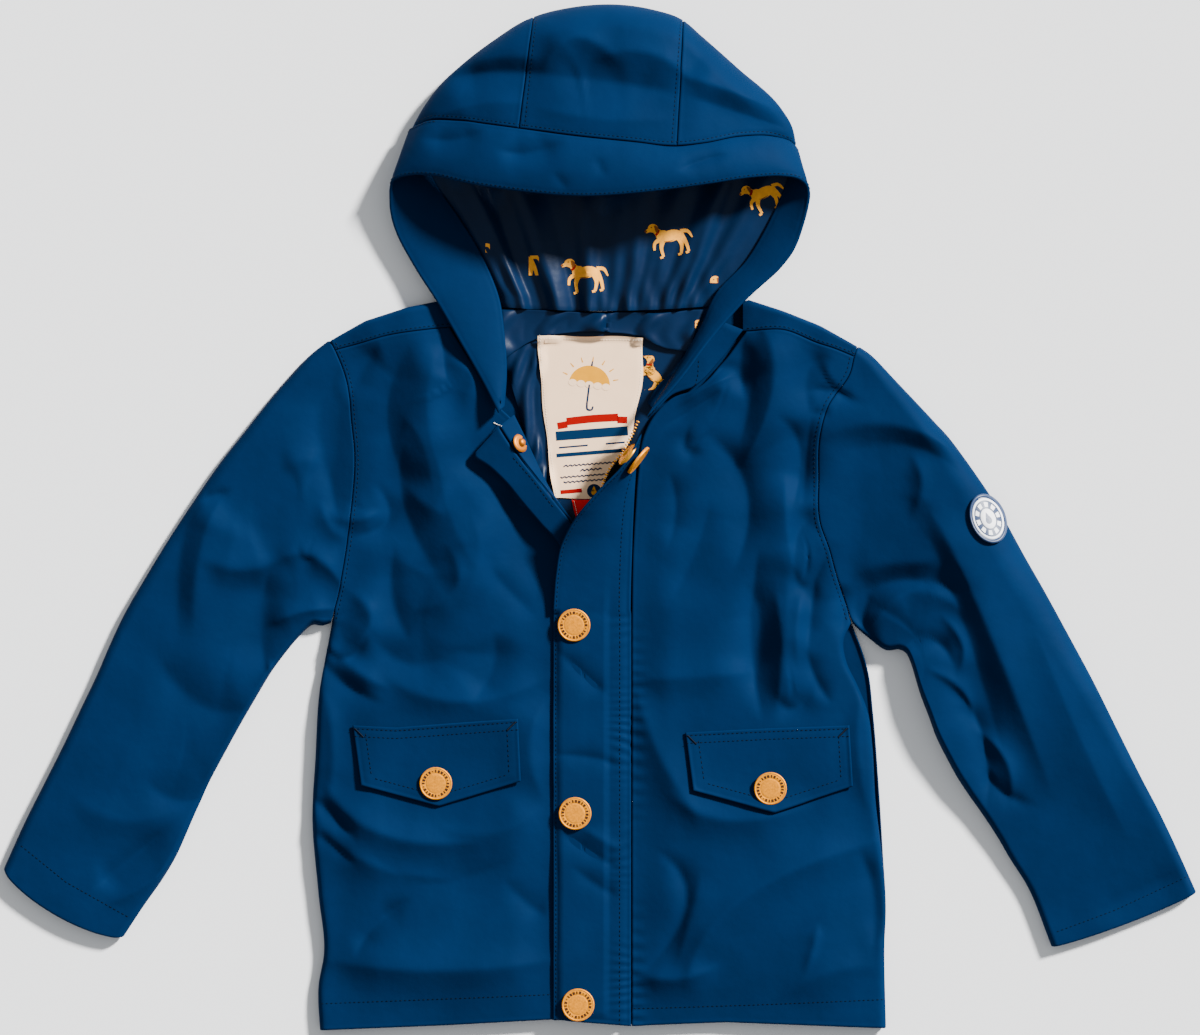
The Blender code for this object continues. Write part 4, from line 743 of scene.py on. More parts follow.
# %% The sleeves
def sleeve(name, sections, armhole_table, away_from_body):
    across = 0.5 * (1 - np.cos(np.linspace(0, math.pi, 121)))
    below = across[2:-2:2][::-1]
    start = along(armhole_table, across)
    sections = np.array(sections)
    number = np.concatenate((NEAR[:-1] / 16, np.linspace(NEAR[-1] / 16, 16, 140)[:-1],
                             16 - NEAR[-2::-1] / 26))
    rings = []
    for at in number:
        ox, oy, ix, iy, bow, rise, rounding = along(sections, at / 16, by_row=True)[0]
        outer, inner = np.array((ox, oy)), np.array((ix, iy))
        width = np.linalg.norm(inner - outer)
        side = np.array((-(inner - outer)[1], (inner - outer)[0])) / width * away_from_body
        line = outer + across[:, None] * (inner - outer)
        line = line + side * (bow * (4 * across * (1 - across)) ** 0.7)[:, None]
        share = soft_step(at / 5)
        bent = start + (outer - start[0]) * (1 - across)[:, None] + (inner - start[-1]) * across[:, None]
        line = line * share + bent * (1 - share)
        line[:, 0] += away_from_body * SEAM * (1 - share)
        x, y = line.T
        level = lying(x, y, rise)
        round_out = quarter(across * width / rounding)
        round_in = quarter((1 - across) * width / ROLL)
        top = EDGE + (level - EDGE) * round_out * round_in
        under = np.stack([np.interp(below, across, column) for column in (x, y)], axis=1)
        under[:, 0] += away_from_body * 1.2 * (1 - share)
        from_edge = np.minimum(below, 1 - below) * width
        bottom = EDGE * (1 - quarter(from_edge / ROLL))
        rings.append(np.concatenate((np.column_stack((x, y, top)), np.column_stack((under, bottom)))))
    grid = np.array(rings)
    middle = grid.mean(axis=(0, 1))
    return shell(name, grid, COATED, ring=True, inside=(middle[0], middle[1], 4.0), thick=1.6)


sleeve("right_sleeve_cloth", SLEEVE_RIGHT, ARMHOLE_RIGHT, -1)
sleeve("left_sleeve_cloth", SLEEVE_LEFT, ARMHOLE_LEFT, 1)

# %% [markdown]
# ## The hood
# Three panels make the crown. Each runs from its seam with the face band over the outline and
# back under to the neck. The middle panel lies between two straight seams.

# %% Lines of the hood
CROWN_SEAM = (
    (-121.5, 257.5, 12), (-114.8, 261.2, 18), (-93.7, 261.5, 26), (-74.6, 259, 32),
    (-51.5, 255.8, 37), (-16.5, 251, 40), (22.4, 247, 40), (47.5, 244.5, 38),
    (69, 246.5, 34), (92, 251, 27), (112, 251.5, 19), (125.5, 248, 12),
)
HOOD_OUTLINE = (
    (-124.8, 255.5), (-116.8, 270), (-107.6, 283), (-89.8, 300), (-68.6, 316),
    (-49.5, 328), (-16.5, 337), (18.5, 338), (34.3, 335.3), (54, 328.7),
    (66.7, 318), (90.4, 297), (119.5, 270), (126.7, 258), (129.5, 246),
)
HOOD_FOOT = (
    (-107, 221.5), (-89, 193.5), (-74, 167.5), (-69, 151), (-66.5, 143.8), (-58, 142.2),
    (-30, 140), (0, 138.2), (30, 140), (60, 142.4), (70, 143.2), (76, 144.8), (81, 151),
    (93.5, 166), (112.5, 199), (120.4, 217.5),
)
CENTRE_SEAMS = ((-51.3, -43.8, -30.0), (49.0, 55.0, 33.0))
HOOD_CREASES = (
    (-36, 297, -16, 316, 12, 300, 10, 12, 4.4),
    (-2, 302, 30, 306, 58, 289, 14, 14, 4.6),
    (-30, 290, 10, 286, 52, 278, 12, 14, -3.4),
    (-102, 289, -70, 293, -30, 291, 10, 14, -5.0),
    (-90, 298, -66, 303, -40, 302, 14, 10, 2.4),
    (56, 290, 84, 281, 122, 267, 14, 13, 4.8),
    (60, 277, 90, 267, 122, 257, 11, 13, -3.0),
    (-116, 250, -96, 248, -78, 254, 7, 7, -2.6),
    (-66, 241, -46, 239, -26, 246, 8, 8, -3.2),
    (-2, 236, 0, 230, 3, 224, 3, 3, -1.2),
    (52, 228, 66, 234, 82, 238, 4, 5, -1.8),
    (-30, 226, -26, 221, -22, 216, 3, 3, -1.0),
    (-112, 262, -80, 272, -50, 272, 12, 12, 2.0),
    (-40, 270, 0, 262, 44, 262, 14, 14, 2.4),
)


# %% The hood's panels
def hood_panel(name, start, stop):
    """One panel of the crown; start and stop are where its seams cross the three lines."""
    def share(table, x):
        points = np.array(table, float)[:, :2]
        gone = length_along(points)
        return np.interp(x, points[:, 0], gone / gone[-1])

    lines = []
    columns = spaced([100.0], 2.4)[0]
    for number, table in enumerate((CROWN_SEAM, HOOD_OUTLINE, HOOD_FOOT)):
        first = 0.0 if start is None else share(table, start[number] + SEAM / 2)
        last = 1.0 if stop is None else share(table, stop[number] - SEAM / 2)
        lines.append(along(table, first + (last - first) * columns))
    crown, outline, foot = lines
    rows = []
    reach = np.linalg.norm(outline - crown[:, :2], axis=1)
    for part in 0.5 * (1 - np.cos(np.linspace(0, math.pi, 64))):
        plan = crown[:, :2] + (outline - crown[:, :2]) * part
        relief = crease_height(plan[:, 0], plan[:, 1], HOOD_CREASES) + swell(plan[:, 0], plan[:, 1])
        level = crown[:, 2] + relief - 0.12 * reach * part
        rounding = np.clip(1.2 * (crown[:, 2] - HOOD_EDGE), 4.0, HOOD_ROLL)
        height = HOOD_EDGE + (level - HOOD_EDGE) * quarter(reach * (1 - part) / rounding)
        rows.append(np.column_stack((plan, height)))
    reach = np.linalg.norm(foot - outline, axis=1)
    for part in np.linspace(0, 1, 40)[1:] ** 1.6:
        plan = outline + (foot - outline) * part
        rows.append(np.column_stack((plan, HOOD_EDGE * (1 - quarter(reach * part / HOOD_UNDER)))))
    return shell(name, np.array(rows), COATED, inside=(0, 235, 10.0), sewn=((2.8, 0.12),))


hood_panel("hood_right_cloth", None, CENTRE_SEAMS[0])
hood_panel("hood_centre_cloth", CENTRE_SEAMS[0], CENTRE_SEAMS[1])
hood_panel("hood_left_cloth", CENTRE_SEAMS[1], None)

# %% [markdown]
# ## The face band
# The band round the face is a doubled strip: on top of the hood it shows its outside as the
# brim, it turns over at both corners of the opening and shows its facing down both sides.

# %% The face band
FACE_BAND = (
    (-67.0, 69, 20.0, -63.5, 73, 15.0),
    (-76.6, 88, 17.5, -61.5, 94, 13.0),
    (-93.0, 117, 15.0, -63.0, 122, 10.5),
    (-108.0, 143, 12.5, -67.0, 147, 7.5),
    (-121.5, 164, 10.0, -79.0, 175, 5.5),
    (-134.0, 187, 10.5, -93.0, 198, 4.5),
    (-138.4, 203, 13.0, -108.0, 220, 3.6),
    (-138.6, 211, 15.5, -116.0, 236, 3.0),
    (-138.0, 217, 17.5, -122.0, 249, 3.8),
    (-136.6, 221, 19.5, -125.2, 254.5, 8.0),
    (-132.5, 223.5, 22.0, -121.0, 257, 13.0),
    (-126.0, 225, 25.0, -113.5, 260, 19.0),
    (-111.0, 225, 31.0, -93.0, 260, 26.0),
    (-83.8, 219, 38.0, -74.0, 257.5, 32.0),
    (-54.8, 214.5, 43.0, -51.0, 254.3, 37.0),
    (-16.5, 211, 46.0, -16.5, 249.5, 39.5),
    (12.5, 212, 46.0, 22.4, 245.5, 39.0),
    (41.6, 215, 44.0, 47.5, 243, 37.5),
    (70.6, 219, 40.0, 69.0, 245, 33.0),
    (99.7, 223.5, 33.0, 92.0, 249.5, 26.0),
    (120.0, 224.5, 26.0, 113.0, 250, 19.0),
    (131.0, 222.5, 21.5, 125.0, 246.8, 12.5),
    (136.0, 218.5, 19.0, 129.8, 242, 7.5),
    (138.0, 213, 17.5, 128.5, 234, 3.6),
    (137.2, 205, 16.0, 124.5, 225, 3.0),
    (133.0, 189, 14.5, 119.5, 212, 3.6),
    (119.5, 165, 14.5, 97.5, 171, 5.5),
    (95.7, 143, 18.0, 77.0, 148.5, 8.0),
    (73.0, 117, 22.0, 66.5, 126, 11.0),
    (51.0, 88, 26.0, 54.5, 104, 14.0),
    (30.5, 66, 29.0, 41.5, 82, 17.0),
)


def hood_band():
    ends = np.array((0.0, 0.0005, 0.0014, 0.0026, 0.004))
    at_line = np.concatenate((ends, np.linspace(0.006, 0.994, 250), 1 - ends[::-1]))
    lines = along(np.array(FACE_BAND), at_line)
    lines[:, 4] += 1.0 * soft_step((lines[:, 4] - 240) / 5)
    width = np.linalg.norm(lines[:, 3:5] - lines[:, :2], axis=1)
    at = spaced(width, 2.4)
    grid = between(lines[:, :3], lines[:, 3:], at)
    over = (np.clip(lines[:, 5] - 12, 0, 12) / 12)[:, None]
    grid[..., 2] += 4 * at * (1 - at) * (1.5 + 2.0 * over)
    grid[..., 2] += crease_height(grid[..., 0], grid[..., 1], HOOD_CREASES[7:]) * over
    return shell("hood_band_cloth", grid, COATED, inside=(0, 235, 14.0), centred=True,
                 thick=DOUBLE, sewn=((2.6, 0.18),))


hood_band()

# %% [markdown]
# ## The foot of the hood
# Two narrow strips of the hood sides show between the band and the neckline seams.

# %% The foot of the hood
BASE_RIGHT = (
    (-96.5, 124.5, -89.0, 127.0), (-90.0, 113.5, -80.0, 116), (-81.0, 99.5, -71.0, 101),
    (-73.0, 86.5, -65.0, 88),
)
BASE_LEFT = (
    (37.0, 70.0, 31.5, 76), (47.0, 80.5, 38.5, 88), (61.5, 86.5, 50.5, 97),
    (78.5, 102.5, 66.5, 112), (94.5, 124.0, 82.0, 129),
)


def hood_base(name, table):
    lines = along(np.array(table), np.linspace(0, 1, 36))
    width = np.linalg.norm(lines[:, 2:] - lines[:, :2], axis=1)
    at = spaced(width, 1.6, NEAR[:5])
    plan = between(lines[:, :2], lines[:, 2:], at)
    height = lying(plan[..., 0], plan[..., 1], TOP) + 1.0 * at
    return shell(name, np.dstack((plan, height)), COATED, sewn=((2.6, 0.15),))


hood_base("hood_foot_right", BASE_RIGHT)
hood_base("hood_foot_left", BASE_LEFT)

# %% [markdown]
# ## The lining in the open neck
# The hood's lining is gathered into the neck seam, so soft pleats fan out from it. Below the
# seam a facing of the same satin lies in loose folds, and below that the back's lining shows.

# %% The hood's lining
GATHERS = (
    (-56, 5, 3.0, 0.8), (-47, 4, 4.4, 0.9), (-38, 5, -1.0, 0.7), (-27, 5, 4.6, 1.0),
    (-20, 4, 2.0, 0.5), (-14, 4, -1.0, 0.6), (-6, 5, 5.0, 0.8), (1, 3, 2.0, 0.4),
    (7, 4, 3.0, 0.7), (18, 5, 4.6, 1.0), (25, 3, 2.0, 0.5), (31, 5, 3.4, 0.8),
    (40, 4, 3.6, 0.6), (49, 4, 4.6, 0.9), (58, 5, 3.0, 0.8),
)


LINING_RIGHT = ((122, 147, 175, 198, 220, 236, 300), (-63, -67, -79, -93, -108, -116, -72))
LINING_LEFT = ((126, 148.5, 171, 212, 225, 234, 300), (66.5, 77, 97.5, 119.5, 124.5, 126, 74))


def hood_lining():
    inset = -3.5
    rows = []
    for part in np.concatenate((np.linspace(0, 0.3, 30), np.linspace(0.31, 1, 40))):
        level = 139.5 + 150 * part
        right, left = np.interp(level, *LINING_RIGHT), np.interp(level, *LINING_LEFT)
        x = np.linspace(right + inset, left - inset, 130)
        dip = 3.0 * (1 - (x / 70) ** 2) * (1 - part)
        spread = (left - right) / 130
        wave = 0.5 * np.sin(x / 2.3 + 2 * np.sin(part * 9)) * soft_step((0.25 - part) / 0.2)
        for place, width, height, far in GATHERS:
            fade = soft_step((far - part) / 0.5 + 0.2)
            lean = 6.0 * math.sin(place) * part
            wave = wave + height * fade * np.exp(-(((x / spread) - place - lean) / width) ** 2)
        edge = soft_step(np.minimum(x - right - inset, left - inset - x) / 8)
        y = np.full(len(x), level) - dip
        rows.append(np.column_stack((x, y, 3.4 + 0.7 * (wave + np.sqrt(wave**2 + 0.1)) * edge)))
    return shell("hood_lining_satin", np.array(rows), SATIN, thick=THIN)


hood_lining()

# %% The facing and the back's lining
FACING = (
    (-65.5, 141.0, -64.5, 102), (-50.0, 140.5, -49.0, 115), (-30.0, 139.5, -31.0, 121),
    (0.0, 138.5, -1.0, 122.5), (24.0, 138.5, 22.0, 121), (46.0, 139.0, 42.0, 112),
    (68.5, 141.0, 58.0, 110),
)
LINING_SHOWN = (
    (-63.0, 126.0, 61.0, 126.0), (-62.0, 101.0, 53.0, 104.0), (-56.0, 80.0, 42.0, 84.0),
    (-51.0, 60.0, 30.0, 60.0), (-43.5, 36.0, 25.0, 36.0), (-34.0, 12.0, 24.0, 12.0),
    (-23.0, -3.0, 19.0, -6.0), (-10.0, -18.0, 10.0, -20.0),
)


def neck_facing():
    lines = along(np.array(FACING), np.linspace(0, 1, 100))
    at = np.concatenate(((0, 0.02, 0.05, 0.09), np.linspace(0.13, 0.87, 22), (0.91, 0.95, 0.98, 1)))
    plan = between(lines[:, 2:], lines[:, :2], at)
    x = plan[..., 0]
    slanted = x + 4 * np.sin(plan[..., 1] / 6)
    folds = 2.0 * np.cos(slanted / 5.2) + 1.6 * np.cos(x / 8.7 + 1.0) + 0.8 * np.cos(slanted / 2.6)
    height = 6.0 + np.maximum(folds, -1.2) * (4 * at * (1 - at))[None, :] ** 0.6
    height -= 1.6 * np.exp(-(((x - 4) / 1.4) ** 2)) * (height > 5.8)
    plan[..., 1] -= 3.2 * at[None, :]
    return shell("neck_facing_satin", np.dstack((plan, height)), SATIN, thick=THIN)


def back_lining():
    lines = along(np.array(LINING_SHOWN), np.linspace(0, 1, 110))
    at = np.linspace(0, 1, 70)
    plan = between(lines[:, :2], lines[:, 2:], at)
    x, y = plan[..., 0], plan[..., 1]
    beside_label = soft_step((-40 + (y < 60) * (60 - y) * 0.2 - x) / 4) * soft_step((118 - y) / 8)
    folds = np.sin(x / 1.7 - y / 9 + 1.4 * np.sin(y / 11)) + 0.8 * np.sin(x / 3.1 + y / 14)
    height = 3.4 + beside_label * (1.6 + 1.2 * folds)
    return shell("back_lining_satin", np.dstack((plan, height)), SATIN, thick=THIN)


neck_facing()
back_lining()

# %% [markdown]
# ## Label and tag
# A cream label is sewn into the neck by all four edges, and a small red tag hangs below it.

# %% Label and tag
LABEL_EDGES = (
    (-41.0, 120.0, 28.5, 119.0), (-39.0, 90.0, 27.5, 88.0), (-36.0, 60.0, 22.0, 60.0),
    (-33.0, 35.0, 18.5, 35.0), (-30.0, 13.0, 15.5, 13.0),
)
TAG_EDGES = ((-18.5, 12.0, -2.5, 12.0), (-17.0, 4.0, -6.0, 4.0), (-15.0, -2.5, -9.5, -2.5))


def label():
    lines = along(np.array(LABEL_EDGES), np.linspace(0, 1, 44))
    at = np.linspace(0, 1, 30)
    plan = between(lines[:, :2], lines[:, 2:], at)
    plan += 0.45 * np.sin(plan[..., ::-1] / 6.5)
    level = height_over(("back_lining_satin", "neck_facing_satin"), plan[..., 0], plan[..., 1], reach=4.5)
    return shell("label_cloth", np.dstack((plan, level + LAY + THIN)), LABEL_CLOTH, thick=THIN)


def small_tag():
    lines = along(np.array(TAG_EDGES), np.linspace(0, 1, 14))
    at = np.linspace(0, 1, 12)
    plan = between(lines[:, :2], lines[:, 2:], at)
    level = height_over(("back_lining_satin",), plan[..., 0], plan[..., 1])
    return shell("small_tag_cloth", np.dstack((plan, level + LAY + THIN)), RED_CLOTH, thick=THIN)


label()
small_tag()

# %% [markdown]
# ## The zip's edges and the storm flap
# Under the flap a gutter strip runs down the right front and turns back over it at the neck.
# The zip's tapes lie between the fronts. The flap is doubled cloth, sewn to the left front.

# %% The gutter strip
PLACKET = (
    (-56.5, 68.0, 13.0, -66.0, 60.7, 17.5, -84.5, 40.5, 15.0),
    (-50.5, 56.0, 13.0, -59.5, 50.5, 17.5, -74.0, 34.5, 15.5),
    (-44.0, 42.0, 12.5, -52.8, 41.0, 17.0, -63.5, 25.0, 15.5),
    (-33.5, 20.0, 11.5, -39.6, 24.4, 16.0, -51.0, 10.0, 14.5),
    (-20.0, 0.0, 11.0, -29.0, 11.2, 15.0, -38.5, -4.5, 13.4),
    (-8.0, -15.0, 10.5, -16.5, -6.0, 13.5, -26.5, -18.0, 12.2),
    (-1.0, -32.0, 9.6, -11.5, -28.0, 11.4, -23.5, -34.0, 10.4),
    (1.5, -50.0, 9.0, -10.5, -50.0, 9.2, -23.5, -50.0, 9.2),
)


def placket():
    on_front = []
    for y in np.linspace(-60, -326, 30):
        row = []
        for x in (1.5, -10.5, -23.5):
            level = float(height_over(("right_front_cloth",), np.array([x]), np.array([y]))[0])
            row += [x, y, max(level, TOP) + LAY + THIN]
        on_front.append(row)
    lines = np.concatenate((along(np.array(PLACKET), np.linspace(0, 1, 70)), on_front))
    edge, roll, free = lines[:, :3], lines[:, 3:6], lines[:, 6:]
    gone = length_along(roll)
    free = roll + (free - roll) * (0.88 + 0.12 * quarter(gone / 5))[:, None]
    at = np.array((0, 0.03, 0.08, 0.15, 0.25, 0.37, 0.5, 0.63, 0.75, 0.85, 0.92, 0.97, 1.0))
    apart = (free - roll) / np.linalg.norm(free - roll, axis=1, keepdims=True)
    shell("placket_strip_cloth", between(edge, roll, at), COATED, thick=1.2, centred=True)
    back_edge = roll + apart * 1.2
    shell("placket_turnback_cloth", between(back_edge, free, at), COATED, thick=1.6, centred=True)


placket()

# %% The zip's tapes
TAPE_LEFT_TOP = (
    (20.0, -62, 6.0, 12.0, -62, 6.0),
    (20.0, -42, 6.0, 11.0, -40, 6.2),
    (20.0, -26, 6.0, 8.5, -20, 7.2),
    (20.0, -10, 6.2, 4.0, -4, 10.5),
    (20.0, 8, 7.0, 1.0, 15, 17.0),
    (20.2, 24, 8.4, 6.5, 31, 22.0),
    (21.0, 38, 9.4, 16.4, 45, 25.0),
    (22.5, 48, 10.6, 21.6, 55, 26.5),
    (25.0, 56, 11.5, 25.0, 63, 27.0),
)


def zip_tapes():
    at = np.array((0, 0.05, 0.15, 0.3, 0.5, 0.7, 0.85, 0.95, 1.0))
    plain = [(20.2, y, 6.0, 12.0, y, 6.0) for y in np.linspace(-333, -82, 20)]
    top = along(np.array(TAPE_LEFT_TOP), np.linspace(0, 1, 60))
    lines = np.concatenate((np.array(plain), top))
    shell("zip_tape_left_cloth", between(lines[:, :3], lines[:, 3:], at), TAPE, thick=THIN, centred=True)
    lines = np.array([(2.8, y, 6.0, 11.0, y, 6.0) for y in np.linspace(-330, -42, 30)])
    shell("zip_tape_right_cloth", between(lines[:, :3], lines[:, 3:], at), TAPE, thick=THIN, centred=True)


zip_tapes()

# %% The storm flap
FLAP_TOP = (
    (20.2, -61, 9.8, -31.0, -61, 12.8),
    (20.6, -40, 10.0, -29.0, -36, 14.5),
    (21.2, -23, 10.4, -25.7, -18.5, 19.0),
    (21.8, -8, 11.0, -17.0, -2, 27.0),
    (22.4, 3, 11.6, -10.6, 6, 31.5),
    (23.0, 14, 12.2, 0.0, 18, 35.0),
    (23.8, 27, 13.0, 15.0, 33, 37.5),
    (24.4, 38, 14.0, 21.8, 43, 38.0),
    (26.5, 49, 15.0, 28.0, 55, 37.0),
)
FLAP_CREASES = (
    (-27, -88, -9, -105, 3, -116, 5, 6, -1.8),
    (-29, -156, -5, -158, 12, -164, 4, 6, -1.4),
    (-25, -206, -12, -217, 10, -230, 5, 6, -1.8),
    (-12, -204, 1, -212, 14, -219, 4, 5, 1.2),
    (-18, -230, -2, -242, 12, -250, 5, 6, -1.4),
    (-22, -40, -6, -56, 12, -54, 6, 7, -1.2),
)


def storm_flap():
    at = spaced([51.0], 2.2)[0]
    down = np.concatenate((-335 + NEAR[:-1], np.linspace(-331.4, -63, 200)))
    seam = np.column_stack((np.interp(down, (-335, -61), (20.4, 20.6)), down))
    free = np.column_stack((np.full(len(down), -31.0), down + np.interp(down, (-335, -300), (4.0, 0.0))))
    plan = between(seam, free, at)
    under = ("right_front_cloth", "placket_strip_cloth", "placket_turnback_cloth")
    coarse = between(seam[::4], free[::4], at[::3])
    level = height_over(under, coarse[..., 0], coarse[..., 1], reach=4.0)
    rows = np.interp(np.arange(len(down)), np.arange(0, len(down), 4), np.arange(len(level)))
    low = np.floor(rows).astype(int)
    high = np.minimum(low + 1, len(level) - 1)
    level = level[low] + (level[high] - level[low]) * (rows - low)[:, None]
    level = np.stack([np.interp(at, at[::3], row) for row in level])
    level = np.maximum(level + FLAP_THICK + 0.2, 10.4)
    ease = soft_step(at / 0.16)
    level = 9.2 + (level - 9.2) * ease[None]
    phase = down / 0.95 + 2.4 * np.sin(down / 9.7) + 1.7 * np.sin(down / 23)
    slant = np.outer(9 * np.sin(down / 19) + 5 * np.sin(down / 7.3), at)
    amount = 0.17 * (1.2 + np.sin(down / 13) + 0.7 * np.sin(down / 29))
    level += np.sin(phase[:, None] + slant) * np.outer(amount, np.exp(-(((at - 0.12) / 0.13) ** 2)))
    level += crease_height(plan[..., 0], plan[..., 1], FLAP_CREASES)
    lower = np.dstack((plan, level))
    top = along(np.array(FLAP_TOP), np.linspace(0, 1, 72))
    upper = between(top[:, :3], top[:, 3:], at)
    sag = np.clip(top[:, 5] - top[:, 2], 0, 12)[:, None] * (at * (1 - at))[None, :]
    upper[..., 2] -= 0.6 * sag
    upper[..., 2] += np.maximum(0, lower[-1, :, 2] - upper[0, :, 2])[None] * (
        soft_step(1 - np.arange(72) / 16))[:, None]
    grid = np.concatenate((lower, upper))
    return shell("storm_flap_cloth", grid, COATED, thick=FLAP_THICK, inside=(-400, 0, -1000),
                 sewn=((2.6, 0.22),))


storm_flap()

# %% [markdown]
# ## Pocket flaps
# Each flap hangs from a double row of stitches and comes to a blunt point at its snap.

# %% Pocket flaps
POCKET_RIGHT = (
    ((-163.2, -136.6), (-134.6, -138.0), (-54.0, -132.2)),
    ((-157.7, -176.2), (-106.5, -190.0), (-52.1, -173.6)),
)
POCKET_LEFT = (
    ((56.1, -141.2), (110.0, -138.6), (164.3, -136.6)),
    ((61.4, -179.5), (114.8, -194.0), (166.7, -176.9)),
)


def pocket_flap(name, on, upper, lower):
    at = spaced([108.0], 2.4)[0]
    down = spaced([45.0], 2.2)[0]
    plan = between(straight(upper, at), straight(lower, at), down)
    coarse = height_over((on,), plan[::3, ::3, 0], plan[::3, ::3, 1], reach=4.0)
    rows = np.stack([np.interp(down, down[::3], row) for row in coarse])
    rest = np.stack([np.interp(at, at[::3], column) for column in rows.T], axis=1)
    level = rest + 0.2 + FLAP_THICK + 0.5 * (down**2)[None, :]
    return shell(name, np.dstack((plan, level)), COATED, thick=FLAP_THICK, sewn=((2.6, 0.2),))


pocket_flap("pocket_flap_right_cloth", "right_front_cloth", *POCKET_RIGHT)
pocket_flap("pocket_flap_left_cloth", "left_front_cloth", *POCKET_LEFT)

# %% [markdown]
# ## Sewing
# Every seam is held down by a row of real stitches. The rows are drawn as lines in plan, laid
# on the cloth, and a small Geometry Nodes tree puts one stitch each few millimetres along
# them. The same tree sets the zip's teeth, with other sizes.

# %% A tree that sets small pieces along lines
SIZES = ("Pitch", "Length", "Width", "Thickness", "Unevenness")


def along_lines_tree():
    tree = bpy.data.node_groups.new("Pieces along lines", "GeometryNodeTree")
    face = tree.interface
    face.new_socket("Lines", in_out="INPUT", socket_type="NodeSocketGeometry")
    for size in SIZES:
        face.new_socket(size, in_out="INPUT", socket_type="NodeSocketFloat")
    face.new_socket("Material", in_out="INPUT", socket_type="NodeSocketMaterial")
    face.new_socket("Pieces", in_out="OUTPUT", socket_type="NodeSocketGeometry")
    nodes, links = tree.nodes, tree.links
    given = nodes.new("NodeGroupInput").outputs
    curve = nodes.new("GeometryNodeMeshToCurve")
    spread = nodes.new("GeometryNodeCurveToPoints")
    spread.mode = "LENGTH"
    piece = nodes.new("GeometryNodeMeshIcoSphere")
    piece.inputs["Radius"].default_value = 0.5
    piece.inputs["Subdivisions"].default_value = 1
    turn = nodes.new("FunctionNodeAlignRotationToVector")
    turn.axis = "X"
    size = nodes.new("ShaderNodeCombineXYZ")
    least = nodes.new("ShaderNodeMath")
    least.operation = "SUBTRACT"
    least.inputs[0].default_value = 1.0
    uneven = nodes.new("FunctionNodeRandomValue")
    uneven.inputs["Seed"].default_value = 7
    scaled = nodes.new("ShaderNodeVectorMath")
    scaled.operation = "SCALE"
    put = nodes.new("GeometryNodeInstanceOnPoints")
    real = nodes.new("GeometryNodeRealizeInstances")
    dress = nodes.new("GeometryNodeSetMaterial")
    out = nodes.new("NodeGroupOutput")
    links.new(given["Lines"], curve.inputs["Mesh"])
    links.new(curve.outputs["Curve"], spread.inputs["Curve"])
    links.new(given["Pitch"], spread.inputs["Length"])
    links.new(spread.outputs["Tangent"], turn.inputs["Vector"])
    for axis, name in zip("XYZ", ("Length", "Width", "Thickness")):
        links.new(given[name], size.inputs[axis])
    links.new(given["Unevenness"], least.inputs[1])
    links.new(least.outputs["Value"], uneven.inputs[2])
    links.new(size.outputs["Vector"], scaled.inputs[0])
    links.new(uneven.outputs[1], scaled.inputs["Scale"])
    links.new(spread.outputs["Points"], put.inputs["Points"])
    links.new(piece.outputs["Mesh"], put.inputs["Instance"])
    links.new(turn.outputs["Rotation"], put.inputs["Rotation"])
    links.new(scaled.outputs["Vector"], put.inputs["Scale"])
    links.new(put.outputs["Instances"], real.inputs["Geometry"])
    links.new(real.outputs["Geometry"], dress.inputs["Geometry"])
    links.new(given["Material"], dress.inputs["Material"])
    links.new(dress.outputs["Geometry"], out.inputs["Pieces"])
    return tree


ALONG_LINES = along_lines_tree()
EXTRAS = []  # sewing, print and marks: pieces with no solid of their own
HARD = {}  # hard pieces: name, then solid and slot
THREAD_LIFT = 0.12  # how far above the cloth a line of sewing runs


# %% Rows of small pieces
def set_along(name, lines, material, pitch, length, width, thickness, uneven=0.12):
    """A plain mesh of small pieces set along lines of points, all in millimetres."""
    lines = [line for line in lines if len(line) > 1]
    points, edges = [], []
    for line in lines:
        edges += [(len(points) + k, len(points) + k + 1) for k in range(len(line) - 1)]
        points += (np.asarray(line) * MM).tolist()
    drawn = bpy.data.meshes.new(name + "_lines")
    drawn.from_pydata(points, edges, [])
    made = put_in_scene(name, drawn)
    step = made.modifiers.new("Along", "NODES")
    step.node_group = ALONG_LINES
    sizes = dict(zip(SIZES, (pitch * MM, length * MM, width * MM, thickness * MM, uneven)))
    sizes["Material"] = material
    for socket in ALONG_LINES.interface.items_tree:
        if socket.in_out == "INPUT" and socket.name in sizes:
            step[socket.identifier] = sizes[socket.name]
    bpy.context.view_layer.update()
    seen = made.evaluated_get(bpy.context.evaluated_depsgraph_get())
    mesh = bpy.data.meshes.new_from_object(seen)
    made.modifiers.remove(step)
    made.data = mesh
    bpy.data.meshes.remove(drawn)
    mesh.name = name
    mesh.shade_smooth()
    EXTRAS.append(made)
    print(f"{name}: {len(mesh.polygons) // 20} pieces along {len(lines)} lines")
    return made


def laid(plan, on, lift=THREAD_LIFT):
    """A line in plan, laid on the named pieces; the stretches that miss them are left out."""
    plan = np.array(plan, float)
    gone = length_along(plan)
    at = np.linspace(0, gone[-1], max(2, int(gone[-1] / 1.5)))
    x, y = (np.interp(at, gone, column) for column in plan.T)
    level = height_over(on, x, y, reach=0)
    return np.column_stack((x, y, level + lift))[level > 0]


def beside(plan, distance):
    """A line in plan, moved to its left by a distance."""
    plan = np.array(plan, float)
    run = np.gradient(plan, axis=0)
    run /= np.linalg.norm(run, axis=1, keepdims=True)
    return plan + distance * np.column_stack((-run[:, 1], run[:, 0]))


